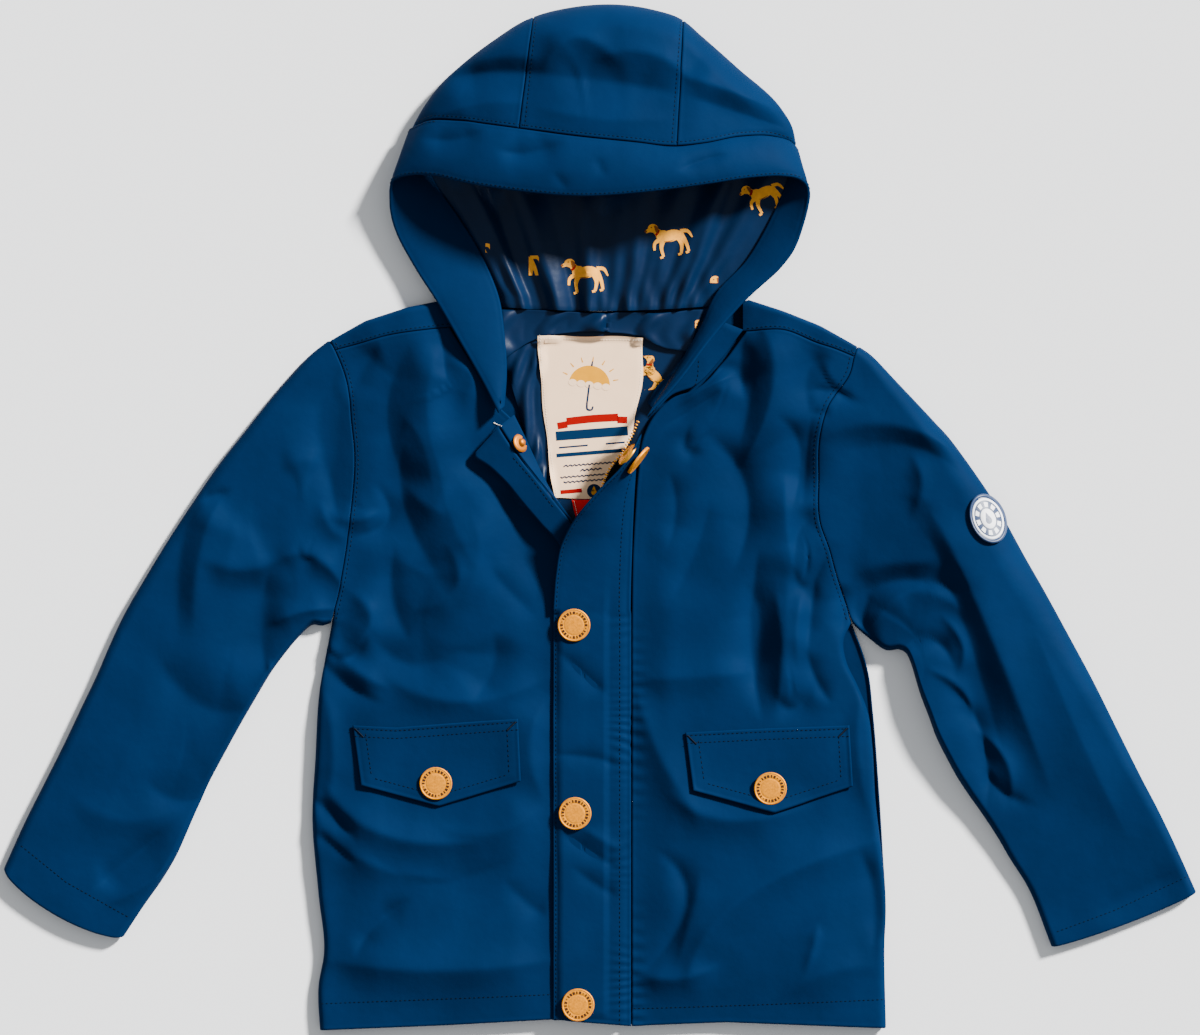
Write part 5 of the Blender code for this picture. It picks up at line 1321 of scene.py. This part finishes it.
def beside_edge(name, distance, last, inside):
    """A line on a piece, at a distance in from its first or its last column of points."""
    out = normals_of(GRIDS[name], inside=inside)[0]
    line = []
    for row, normals in zip(GRIDS[name], out):
        if last:
            row, normals = row[::-1], normals[::-1]
        raised = row + THREAD_LIFT * normals
        line.append([np.interp(distance, length_along(row), column) for column in raised.T])
    return np.array(line)


# %% The topstitching
FINE = np.linspace(0, 1, 90)
BODY = ("right_front_cloth", "left_front_cloth", "back_cloth")
HOOD = ("hood_right_cloth", "hood_centre_cloth", "hood_left_cloth")
STITCH = (3.0, 2.2, 0.55, 0.5)  # pitch, length, width, thickness


def body_rows():
    most = 0.02 + 0.96 * FINE
    crown = along(np.array(CROWN_SEAM)[:, :2], FINE)
    return [
        laid(beside(along(ARMHOLE_RIGHT, most), 2.6), BODY),
        laid(beside(along(ARMHOLE_LEFT, most), -2.6), BODY),
        laid(beside(along(SHOULDER_RIGHT, most), 2.0), BODY),
        laid(beside(along(SHOULDER_LEFT, most), -2.0), BODY),
        laid(beside(crown, 2.4), HOOD),
        laid(((-41.8, 330), (-49.2, 258)), HOOD),
        laid(((53.2, 327), (47.2, 247)), HOOD),
        laid(((-183, -320.2), (-110, -317.2), (-34, -314.2)), BODY),
        laid(((23, -323.5), (100, -321), (186, -317.5)), BODY),
        laid(((-381, -216.5), (-352, -240), (-312, -262.5)), ("right_sleeve_cloth",)),
        laid(((302, -272.5), (340, -258.5), (386, -237.0)), ("left_sleeve_cloth",)),
        laid(((65.0, 103.0), (64.6, 94), (62.5, 86.5)), ("hood_foot_left",)),
        laid(((-56.5, 39.0), (-45, 26), (-31.5, 8)), ("placket_turnback_cloth", "placket_strip_cloth")),
    ]


def band_rows():
    middle = (0, 235, 14.0)
    free = beside_edge("hood_band_cloth", 2.6, False, middle)
    sewn = beside_edge("hood_band_cloth", 2.2, True, middle)
    return [free[3:-3], sewn[4:84], sewn[206:-4]]


def flap_rows():
    above = (-400, 0, -1000)
    return [beside_edge("storm_flap_cloth", distance, last, above)[2:-2]
            for distance, last in ((8.0, False), (2.4, True))]


def pocket_rows(name, upper, lower):
    """Two rows along the top, one down each side and one along the pointed foot."""
    top = straight(upper, FINE)
    foot_left, point, foot_right = (np.array(spot, float) for spot in lower)
    middle = np.array((point[0], top[:, 1].mean() - 20))

    def inset(a, b, distance, from_a, from_b):
        run = (b - a) / np.linalg.norm(b - a)
        side = np.array((-run[1], run[0]))
        side *= np.sign(np.dot(side, middle - a))
        return laid((a + side * distance + run * from_a, b + side * distance - run * from_b), (name,))

    return [
        laid(beside(top, -2.2)[1:-1], (name,)), laid(beside(top, -7.2)[1:-1], (name,)),
        inset(top[0], foot_left, 8.0, 7.5, 7.5), inset(top[-1], foot_right, 7.5, 7.5, 7.5),
        inset(foot_left, point, 6.9, 9.0, 13.0), inset(point, foot_right, 6.9, 11.0, 9.0),
    ]


POCKETS = (("pocket_flap_right_cloth", POCKET_RIGHT), ("pocket_flap_left_cloth", POCKET_LEFT))
SEWN_ROWS = body_rows() + band_rows() + flap_rows()
TACKS = []
for name, (upper, lower) in POCKETS:
    SEWN_ROWS += pocket_rows(name, upper, lower)
    for (x, y), run in ((upper[0], 1), (upper[-1], -1)):
        TACKS.append(laid(((x + 2 * run, y - 2.5), (x + 7 * run, y - 7.5)), (name,), 0.2))
set_along("topstitching", SEWN_ROWS, THREAD, *STITCH)
set_along("bar_tacks", TACKS, THREAD, 0.8, 1.6, 1.6, 0.5)

tag_line = ((-17.0, 11.0), (-14.2, -1.4), (-10.4, -1.4), (-4.6, 11.0))
set_along("tag_stitches", [laid(tag_line, ("small_tag_cloth",))], CREAM_THREAD, 1.3, 1.1, 0.5, 0.35)
edges = np.array(LABEL_EDGES)
label_lines = [beside(along(edges[:, :2], FINE), 1.4), beside(along(edges[:, 2:], FINE), -1.4)]
label_lines.append(np.array(((-39.0, 118.2), (27.0, 117.2))))
label_lines = [laid(line, ("label_cloth",)) for line in label_lines]
set_along("label_stitches", label_lines, CREAM_THREAD, 1.8, 1.3, 0.4, 0.3)
neck = ("hood_band_cloth", "placket_turnback_cloth", "placket_strip_cloth", "hood_foot_right",
        "right_front_cloth", "back_cloth")
set_along("neck_tack", [laid(((-69.5, 62.5), (-65.0, 60.5)), neck, 0.4)], CREAM_THREAD, 1.2, 2.0, 0.7, 0.6)

# %% [markdown]
# ## The zip's teeth
# Brass teeth are pressed on the free edge of each tape. They show only where the left tape
# stands up at the neck.

# %% The zip's teeth
tape = GRIDS["zip_tape_left_cloth"]
apart = tape[:, -1] - tape[:, -2]
free = tape[:, -1] + apart / np.linalg.norm(apart, axis=1, keepdims=True) * 0.6
set_along("zip_teeth", [free[8:]], BRASS, 2.15, 1.35, 2.9, 2.4, 0.0)

# %% [markdown]
# ## Snaps
# A snap's cap is a pressed disc with a raised rim. Plain marks are pressed round it, and its
# middle is a little rough. The caps lie on the cloth that they close.


# %% Turned parts
ROUND = 64  # sides of a turned part


def swung(x, y, degrees):
    """Points turned about the middle of their plane."""
    turn = math.radians(degrees)
    return x * math.cos(turn) - y * math.sin(turn), x * math.sin(turn) + y * math.cos(turn)


def placed(points, frame):
    """Points leant about Y, swung about Z and moved: frame is the place and both angles."""
    at, lean, heading = frame
    x, y, z = np.array(points, float).T
    x, z = swung(x, z, -lean)
    x, y = swung(x, y, heading)
    return np.column_stack((x, y, z)) + np.array(at, float)


def ring_faces(sides, rings, start=0):
    """Faces between rings of points that follow one another."""
    faces = []
    for first in range(start, start + (rings - 1) * sides, sides):
        for k in range(sides):
            after = (k + 1) % sides
            faces.append((first + k, first + sides + k, first + sides + after, first + after))
    return faces


def turned(name, profile, material, frame, stands_for):
    """A disc turned from its profile: radius and height in mm, from the middle outwards."""
    angle = np.linspace(0, 2 * math.pi, ROUND, endpoint=False)
    points = [(0.0, 0.0, profile[0][1])]
    for radius, height in profile[1:]:
        points += [(radius * math.cos(a), radius * math.sin(a), height) for a in angle]
    faces = [(0, 1 + k, 1 + (k + 1) % ROUND) for k in range(ROUND)]
    faces += ring_faces(ROUND, len(profile) - 1, start=1)
    last = len(points) - ROUND
    faces.append(tuple(last + k for k in range(ROUND))[::-1])
    HARD[name] = stands_for
    return add_mesh(name, placed(points, frame), faces, material)


R = SNAP / 2
CAP = (
    (0, 1.72), (0.25 * R, 1.74), (0.50 * R, 1.72), (0.60 * R, 1.68), (0.62 * R, 1.58), (0.64 * R, 1.68),
    (0.86 * R, 1.66), (0.88 * R, 1.60), (0.90 * R, 1.66), (0.92 * R, 1.80), (0.95 * R, 1.84),
    (0.98 * R, 1.66), (0.995 * R, 1.2), (R, 0.7), (0.98 * R, 0.1), (0.9 * R, 0.0),
)
MARKS = 24  # pressed marks round a cap


def cap_marks(name, frame):
    """Short plain marks in a ring: dashes, with a dot after every fifth."""
    points, faces = [], []
    for k in range(MARKS):
        dot = k % 6 == 5
        near, far = ((0.72, 0.79) if dot else (0.665, 0.835))
        half = 0.04 if dot else (0.085, 0.055, 0.095)[k % 3]
        middle = 2 * math.pi * k / MARKS
        first = len(points)
        for level in (1.60, 1.76):
            for r, a in ((near, -half), (far, -half), (far, half), (near, half)):
                points.append((r * R * math.cos(middle + a), r * R * math.sin(middle + a), level))
        faces += [(first + 4, first + 5, first + 6, first + 7), (first + 3, first + 2, first + 1, first)]
        for side in range(4):
            after = (side + 1) % 4
            faces.append((first + side, first + after, first + 4 + after, first + 4 + side))
    EXTRAS.append(add_mesh(name, placed(points, frame), faces, DARK_MARK, smooth=False))


# %% The snaps and the zip's slider
FLAT_SNAPS = (
    # solid, x, y, what it is fixed on
    ("flap_snap_1", -17.2, -70.6, "storm_flap_cloth"),
    ("flap_snap_2", -16.5, -194.7, "storm_flap_cloth"),
    ("flap_snap_3", -14.5, -320.8, "storm_flap_cloth"),
    ("pocket_snap_right", -108.2, -174.9, "pocket_flap_right_cloth"),
    ("pocket_snap_left", 112.2, -178.2, "pocket_flap_left_cloth"),
)
for number, (solid, x, y, on) in enumerate(FLAT_SNAPS):
    level = float(height_over((on,), np.array([x]), np.array([y]), reach=6.0)[0]) + 0.05
    spot_frame = ((x, y, level), 0.0, 40.0 * number)
    turned(solid + "_cap", CAP, COPPER, spot_frame, (solid, "snap_cap"))
    cap_marks(solid + "_marks", spot_frame)

SOCKET = ((0, 0.5), (2.4, 0.5), (2.7, 2.0), (3.2, 2.4), (6.0, 2.2), (8.2, 1.4), (8.5, 0.5), (8.3, 0))
STUD = ((0, 3.7), (1.3, 3.6), (2.0, 3.2), (2.5, 2.4), (2.7, 1.4), (3.2, 1.2), (4.4, 1.5), (5.6, 1.1),
        (6.2, 0.6), (6.0, 0))
SLIDER = ((0, 2.4), (2.6, 2.4), (3.6, 2.2), (4.4, 1.7), (4.6, 0.6), (4.2, 0))
turned("neck_cap_copper", CAP, COPPER, ((24.6, 38.4, 27.5), 84, -38), ("neck_snap_cap", "snap_cap"))
turned("neck_socket_brass", SOCKET, BRASS, ((18.6, 41.4, 31.0), -74, -38),
       ("neck_snap_socket", "zip_and_snap_brass"))
turned("neck_stud_brass", STUD, DARK_COPPER, ((-52.6, 49.2, 15.4), 46, 24),
       ("neck_snap_stud", "zip_and_snap_brass"))
turned("zip_slider_brass", SLIDER, BRASS, ((10.6, -50, 6.9), 0, 0), ("zip_slider", "zip_and_snap_brass"))

# %% [markdown]
# ## Flat print and small figures
# The label's picture, the badge's marks and the lining's dogs are flat shapes, laid on the
# cloth below them like print. A figure is built from round spots and tapering strokes.


# %% Spots and strokes
def spot(x, y, wide, tall, turn=0.0, rings=3, sides=20, span=(0, 360)):
    """Points and faces of a flat ellipse or sector."""
    points, faces = [], []
    for ring in range(rings + 1):
        for a in np.radians(np.linspace(*span, sides + 1)):
            px, py = swung(wide * ring / rings * math.cos(a), tall * ring / rings * math.sin(a), turn)
            points.append((x + px, y + py))
    for ring in range(rings):
        for k in range(sides):
            a, b = ring * (sides + 1) + k, (ring + 1) * (sides + 1) + k
            faces.append((a, b, b + 1, a + 1))
    return points, faces


def stroke(line, widths, steps):
    """Points and faces of a flat stroke along a smooth line, with its own widths."""
    at = np.linspace(0, 1, steps + 1)
    middle = along(line, at) if len(line) > 2 else straight(line, at)
    half = np.interp(at, np.linspace(0, 1, len(widths)), widths)[:, None] / 2
    run = np.gradient(middle, axis=0)
    side = np.column_stack((-run[:, 1], run[:, 0])) / np.linalg.norm(run, axis=1, keepdims=True)
    points = [tuple(p) for three in zip(middle + side * half, middle, middle - side * half) for p in three]
    faces = [(3 * k + j, 3 * k + j + 1, 3 * k + j + 4, 3 * k + j + 3) for k in range(steps) for j in (0, 1)]
    return points, faces


def moved(shapes, x, y, turn, size=1.0):
    """Flat shapes brought to a size, swung and moved."""
    result = []
    for points, faces in shapes:
        px, py = swung(*(np.array(points) * size).T, turn)
        result.append((list(zip(x + px, y + py)), faces))
    return result


def shown_in(shapes, low, high):
    """What a fold leaves of the shapes: the part between two corners."""
    return [(np.clip(points, low, high).tolist(), faces) for points, faces in shapes]


def print_on(name, shapes, on, material, lift=0.1):
    """Lay flat shapes on a piece; faces that find no cloth below are left out."""
    points, faces = [], []
    for shape_points, shape_faces in shapes:
        faces += [tuple(len(points) + k for k in face) for face in shape_faces]
        points += shape_points
    points = np.array(points)
    level = height_over(on, points[:, 0], points[:, 1], reach=0)
    upward = []
    for face in faces:
        px, py = points[list(face)].T
        area = (px * np.roll(py, -1) - py * np.roll(px, -1)).sum()
        if abs(area) > 1e-4 and all(level[k] > 0 for k in face):
            upward.append(face if area > 0 else face[::-1])
    used = sorted({k for face in upward for k in face})
    place = {k: n for n, k in enumerate(used)}
    lifted = np.column_stack((points, level + lift))[used]
    EXTRAS.append(add_mesh(name, lifted, [tuple(place[k] for k in face) for face in upward], material))
    print(f"{name}: {len(upward)} faces")


# %% The lining's dogs
DOG = (
    spot(0, 0, 8.0, 4.0, turn=4, sides=18),
    spot(-5.2, 0.4, 4.5, 4.4, sides=16),
    stroke(((-6.5, 1.5), (-9.5, 5.5)), (6.0, 4.2), 5),
    spot(-11.0, 7.2, 3.5, 3.0, turn=-12, sides=16),
    stroke(((-12.5, 6.6), (-16.4, 5.6)), (3.3, 1.9), 4),
    stroke(((-5.8, -2.0), (-7.6, -7.0), (-7.2, -13.4)), (4.0, 2.3, 1.8), 7),
    stroke(((-7.2, -1.0), (-11.6, -3.4), (-12.6, -8.0)), (3.6, 2.2, 1.6), 7),
    stroke(((5.6, -1.4), (6.6, -6.6), (5.2, -13.2)), (5.0, 2.5, 1.8), 7),
    stroke(((6.6, 0.0), (9.6, -6.0), (10.6, -12.6)), (5.0, 2.5, 1.8), 7),
    stroke(((7.2, 2.2), (11.8, 1.6), (14.6, -3.4)), (2.6, 2.4, 1.0), 7),
    stroke(((-7.4, -13.4), (-9.6, -13.8)), (1.8, 1.5), 2),
    stroke(((5.2, -13.2), (3.0, -13.6)), (1.8, 1.5), 2),
    stroke(((10.6, -12.6), (8.4, -13.2)), (1.8, 1.5), 2),
)
DOG_DARK = (
    stroke(((-9.6, 8.8), (-8.6, 6.4), (-8.8, 3.8)), (1.0, 2.8, 1.3), 6),
    spot(-16.2, 5.9, 0.9, 0.8, rings=1, sides=8),
    spot(-12.0, 8.0, 0.45, 0.45, rings=1, sides=8),
    stroke(((2.0, -3.0), (-2.0, -3.6), (-5.0, -3.2)), (0.2, 0.7, 0.2), 6),
)
COLLAR = (stroke(((-10.0, 2.2), (-8.4, 3.4), (-7.2, 5.6)), (1.5, 1.6, 1.5), 6),)
DOGS = (
    # x, y, turn, size, and the corners between which it shows
    (-9.0, 162.0, 4, 0.96, (-40, 130), (40, 190)),
    (46.5, 186.0, 10, 0.96, (20, 160), (80, 210)),
    (108.0, 214.5, 24, 0.90, (80, 180), (130, 240)),
    (-53.0, 169.0, 6, 1.0, (-47.0, 160), (-40.3, 173)),
    (-85.0, 178.0, 0, 1.0, (-75.5, 175), (-72.6, 181)),
    (88.0, 151.0, 8, 1.0, (72.6, 155), (78, 160)),
    (77.0, 122.0, 8, 1.0, (62.7, 125), (67.3, 131)),
    (35.5, 94.0, -45, 0.85, (27.5, 84.5), (42, 107)),
)
LINING = ("hood_lining_satin", "neck_facing_satin", "back_lining_satin")
for name, shapes, material, lift in (
    ("dog_print", DOG, GOLD_PRINT, 0.3),
    ("dog_dark", DOG_DARK, BROWN_PRINT, 0.42),
    ("dog_collars", COLLAR, RED_PRINT, 0.42),
):
    figures = [shape for *dog, low, high in DOGS for shape in shown_in(moved(shapes, *dog), low, high)]
    print_on(name, figures, LINING, material, lift)

# %% The label's picture
CENTRE = (-7.0, 88.0)  # of the umbrella
SHADE = [spot(*CENTRE, 13.5, 12.5, turn=-8, rings=4, sides=24, span=(0, 180))]
SCALLOPS = [spot(-18.0 + 5.5 * k, 89.4 - 0.77 * k, 2.9, 2.3, turn=-8, rings=2, sides=12) for k in range(5)]
HANDLE = [stroke(((-5.4, 100.2), (-4.8, 103.4)), (1.2, 0.6), 2), stroke((CENTRE, (-8.6, 75)), (1.1, 1.1), 6),
          stroke(((-8.6, 75), (-8.2, 71.6), (-5.4, 71.4), (-4.6, 73.6)), (1.1, 1.2, 1.0), 8)]
RAYS = []
for degrees in np.linspace(10, 154, 7):
    a = math.radians(degrees)
    ends = [(CENTRE[0] + r * math.cos(a), CENTRE[1] + 0.95 * r * math.sin(a)) for r in (16.0, 19.5)]
    RAYS.append(stroke(ends, (0.9, 0.4), 2))


def bars(rows):
    """Straight bars: both ends, width and number of steps."""
    return [stroke(ends, (width, width), steps) for *ends, width, steps in rows]


RIBBON = [stroke(((-22, 63.6), (-6, 65.4), (12, 66.4)), (5.0, 5.0, 5.0), 14)]
RIBBON += bars((((-28, 60.6), (-21.5, 61.8), 4.4, 4), ((11.5, 64.8), (18, 64.6), 4.4, 4)))
BARS = bars((
    ((-29, 54.0), (18.4, 57.6), 6.0, 20), ((-27.0, 46.4), (-8.0, 48.0), 1.0, 8),
    ((4.0, 49.0), (16.4, 50.0), 1.0, 8), ((-28.6, 41.2), (16.6, 44.8), 2.4, 20),
))
WAVES = []
for row, (y, half) in enumerate(((35.6, 18.0), (32.0, 7.0), (28.2, 20.0), (24.8, 18.0))):
    line = [(-6 + x, y + 0.075 * x + 0.5 * math.sin(2.2 * x + row)) for x in np.linspace(-half, half, 40)]
    WAVES.append(stroke(line, (0.8, 0.8), 60))
DISC = [spot(-4.0, 17.8, 4.6, 4.6, sides=24)]
DROP = [spot(-4.0, 17.0, 1.8, 1.8, rings=2, sides=16), stroke(((-4.0, 17.6), (-4.0, 21.0)), (3.2, 0.3), 4)]
SIDES = bars((((-26.0, 17.0), (-12.0, 18.2), 2.6, 8), ((3.0, 19.4), (13.5, 20.2), 1.0, 6)))
ON_LABEL = ("label_cloth",)
print_on("label_yellow", SHADE + RAYS, ON_LABEL, YELLOW_PRINT)
print_on("label_scallops", SCALLOPS, ON_LABEL, LABEL_CLOTH, 0.16)
print_on("label_navy", HANDLE + BARS + WAVES + DISC, ON_LABEL, NAVY_PRINT, 0.2)
print_on("label_red", RIBBON + SIDES, ON_LABEL, RED_PRINT, 0.12)
print_on("label_drop", DROP, ON_LABEL, YELLOW_PRINT, 0.28)


# %% The sleeve's badge
BADGE = (255.6, -0.4, 22.0)  # x, y, turn
BADGE_HALF = (12.0, 17.0)
BADGE_SIDES = 72


def on_badge(share, angle):
    """Places in plan at shares of the badge's half sizes."""
    wide, tall = BADGE_HALF
    px, py = swung(share * wide * np.cos(angle), share * tall * np.sin(angle), BADGE[2])
    return BADGE[0] + px, BADGE[1] + py


def badge_part(name, rows, material, closed):
    """A soft ring or disc that follows the sleeve; rows are share and height."""
    angle = np.linspace(0, 2 * math.pi, BADGE_SIDES, endpoint=False)
    points = []
    for share, lift in rows:
        x, y = on_badge(share, angle)
        level = np.maximum(height_over(("left_sleeve_cloth",), x, y, reach=1.8), 5.0) + 0.4
        points += np.column_stack((x, y, level + lift)).tolist()
    faces = ring_faces(BADGE_SIDES, len(rows))
    if closed:
        faces.append(tuple(range(BADGE_SIDES)))
    return add_mesh(name, points, faces, material)


badge_part("badge_disc", (
    (0.02, 1.5), (0.3, 1.5), (0.66, 1.5), (0.80, 1.5), (0.86, 1.45), (0.88, 2.0), (0.93, 2.3), (0.97, 2.0),
    (1.0, 1.2), (1.0, 0.3), (0.9, 0.05), (0.5, 0.05), (0.02, 0.05),
), RUBBER, True)
EXTRAS.append(badge_part("badge_ring", ((0.73, 1.55), (0.745, 1.75), (0.80, 1.75), (0.82, 1.55)),
                         WHITE_RUBBER, False))
EXTRAS.append(badge_part("badge_middle", ((0.01, 1.75), (0.2, 1.75), (0.38, 1.75), (0.40, 1.55)),
                         WHITE_RUBBER, True))
HARD["badge_disc"] = ("sleeve_badge", "badge_rubber")
PIECES = []
for k in range(10):
    angle = math.radians(36 * k) + np.linspace(-0.17, 0.17, 5)
    shares = (0.47, 0.56, 0.66)
    corners = [place for share in shares for place in zip(*on_badge(share, angle))]
    PIECES.append((corners, [(5 * r + s, 5 * r + s + 5, 5 * r + s + 6, 5 * r + s + 1)
                             for r in (0, 1) for s in range(4)]))
print_on("badge_pieces", PIECES, ("badge_disc",), WHITE_RUBBER, 0.12)
BADGE_DROP = (spot(0, -1.3, 2.1, 2.3, rings=2, sides=16), stroke(((0, -0.4), (0, 4.2)), (3.9, 0.3), 4))
print_on("badge_drop", moved(BADGE_DROP, *BADGE), ("badge_middle",), RUBBER, 0.12)

# %% [markdown]
# ## Floor, light and camera
# The coat lies on a pale floor. One large soft light from the upper right draws the creases,
# and a pale sky fills the shadows. The camera looks straight down from far away.

# %% Floor, light and camera
SPAN = 0.792  # width of the view, in metres
HEIGHT = 7.0  # of the camera, in metres
FLOOR_HALF = 3.0
FLOOR_AT = -0.0004
corners = [(FLOOR_HALF * x, FLOOR_HALF * y, FLOOR_AT) for x, y in ((-1, -1), (1, -1), (1, 1), (-1, 1))]
floor_mesh = bpy.data.meshes.new("floor")
floor_mesh.from_pydata(corners, [], [(0, 1, 2, 3)])
floor_mesh.materials.append(finish("pale floor", (0.86, 0.86, 0.86), 0.9))
floor = put_in_scene("floor", floor_mesh)

key = bpy.data.lights.new("key", "SUN")
key.energy = 14.3
key.angle = math.radians(8)
key_object = put_in_scene("key", key)
TOWARDS_KEY = Vector((0.56, 0.49, 0.42))
key_object.rotation_mode = "QUATERNION"
key_object.rotation_quaternion = TOWARDS_KEY.to_track_quat("Z", "Y")

world = bpy.data.worlds.new("pale sky")
world.use_nodes = True
world.node_tree.nodes["Background"].inputs["Color"].default_value = (0.92, 0.96, 1.0, 1.0)
world.node_tree.nodes["Background"].inputs["Strength"].default_value = 0.55
bpy.context.scene.world = world

lens = bpy.data.cameras.new("camera")
lens.sensor_width = 36.0
lens.lens = lens.sensor_width * HEIGHT / SPAN
lens.clip_end = 50.0
camera = put_in_scene("camera", lens)
camera.location = (0.0, 0.0003, HEIGHT)
bpy.context.scene.camera = camera

# %% [markdown]
# ## Riding and replacing
# Every piece rides on the coat's one body and stands for its own solid. The table below also
# lists each piece's slot and the size of its cut.

# %% What each piece stands for
ON_BACK, ON_LINING = ("back_cloth",), ("back_lining_satin",)
ON_RIGHT, ON_LEFT = ("right_front_cloth",), ("left_front_cloth",)
CUTS = {
    # piece: (solid, slot, width and length of the cut in m, area in m2, what it lies on)
    "back_cloth": ("body_back", "coated_cloth", (0.385, 0.50), None, ()),
    "right_front_cloth": ("right_front", "coated_cloth", (0.195, 0.465), None, ON_BACK),
    "left_front_cloth": ("left_front", "coated_cloth", (0.17, 0.465), None, ON_BACK),
    "right_sleeve_cloth": ("sleeve_right", "coated_cloth", (0.36, 0.40), 0.0780, ()),
    "left_sleeve_cloth": ("sleeve_left", "coated_cloth", (0.36, 0.40), 0.0850, ()),
    "hood_right_cloth": ("hood_side_right", "coated_cloth", (0.10, 0.20), 0.0150, ()),
    "hood_centre_cloth": ("hood_centre", "coated_cloth", (0.10, 0.29), 0.0265, ()),
    "hood_left_cloth": ("hood_side_left", "coated_cloth", (0.10, 0.20), 0.0160, ()),
    "hood_band_cloth": ("hood_band", "coated_cloth", (0.036, 0.66), None, ON_RIGHT + ON_LEFT),
    "hood_foot_right": ("hood_base_right", "coated_cloth", (0.0105, 0.046), None, ON_BACK),
    "hood_foot_left": ("hood_base_left", "coated_cloth", (0.014, 0.08), None, ON_BACK),
    "hood_lining_satin": ("hood_lining", "lining_satin", (0.19, 0.15), None, ("hood_centre_cloth",)),
    "neck_facing_satin": ("neck_facing", "lining_satin", (0.15, 0.024), 0.0026, ON_LINING),
    "back_lining_satin": ("back_lining", "lining_satin", (0.08, 0.146), None, ON_BACK),
    "label_cloth": ("label", "label_cloth", (0.056, 0.108), None, ON_LINING),
    "small_tag_cloth": ("small_tag", "tag_cloth", (0.011, 0.0145), None, ON_LINING),
    "placket_strip_cloth": ("placket_strip", "coated_cloth", (0.013, 0.42), None, ON_RIGHT),
    "placket_turnback_cloth": ("placket_turnback", "coated_cloth", (0.015, 0.42), None, ON_RIGHT),
    "zip_tape_left_cloth": ("zip_tape_left", "zip_tape", (0.011, 0.395), None, ON_BACK),
    "zip_tape_right_cloth": ("zip_tape_right", "zip_tape", (0.010, 0.288), 0.00236, ON_BACK),
    "storm_flap_cloth": ("storm_flap", "coated_cloth", (0.05, 0.39), None, ON_RIGHT),
    "pocket_flap_right_cloth": ("pocket_flap_right", "coated_cloth", (0.108, 0.046), None, ON_RIGHT),
    "pocket_flap_left_cloth": ("pocket_flap_left", "coated_cloth", (0.108, 0.046), None, ON_LEFT),
}


def stand_for(piece, solid):
    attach(piece, "root")
    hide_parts(solid)


for name, (solid, slot, cut, area, below) in CUTS.items():
    piece = bpy.data.objects[name]
    stand_for(piece, solid)
for name, (solid, slot) in HARD.items():
    stand_for(bpy.data.objects[name], solid)
for piece in EXTRAS:
    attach(piece, "root")
print(len(CUTS), "sheets declared,", len(HARD), "hard parts and", len(EXTRAS), "small pieces")
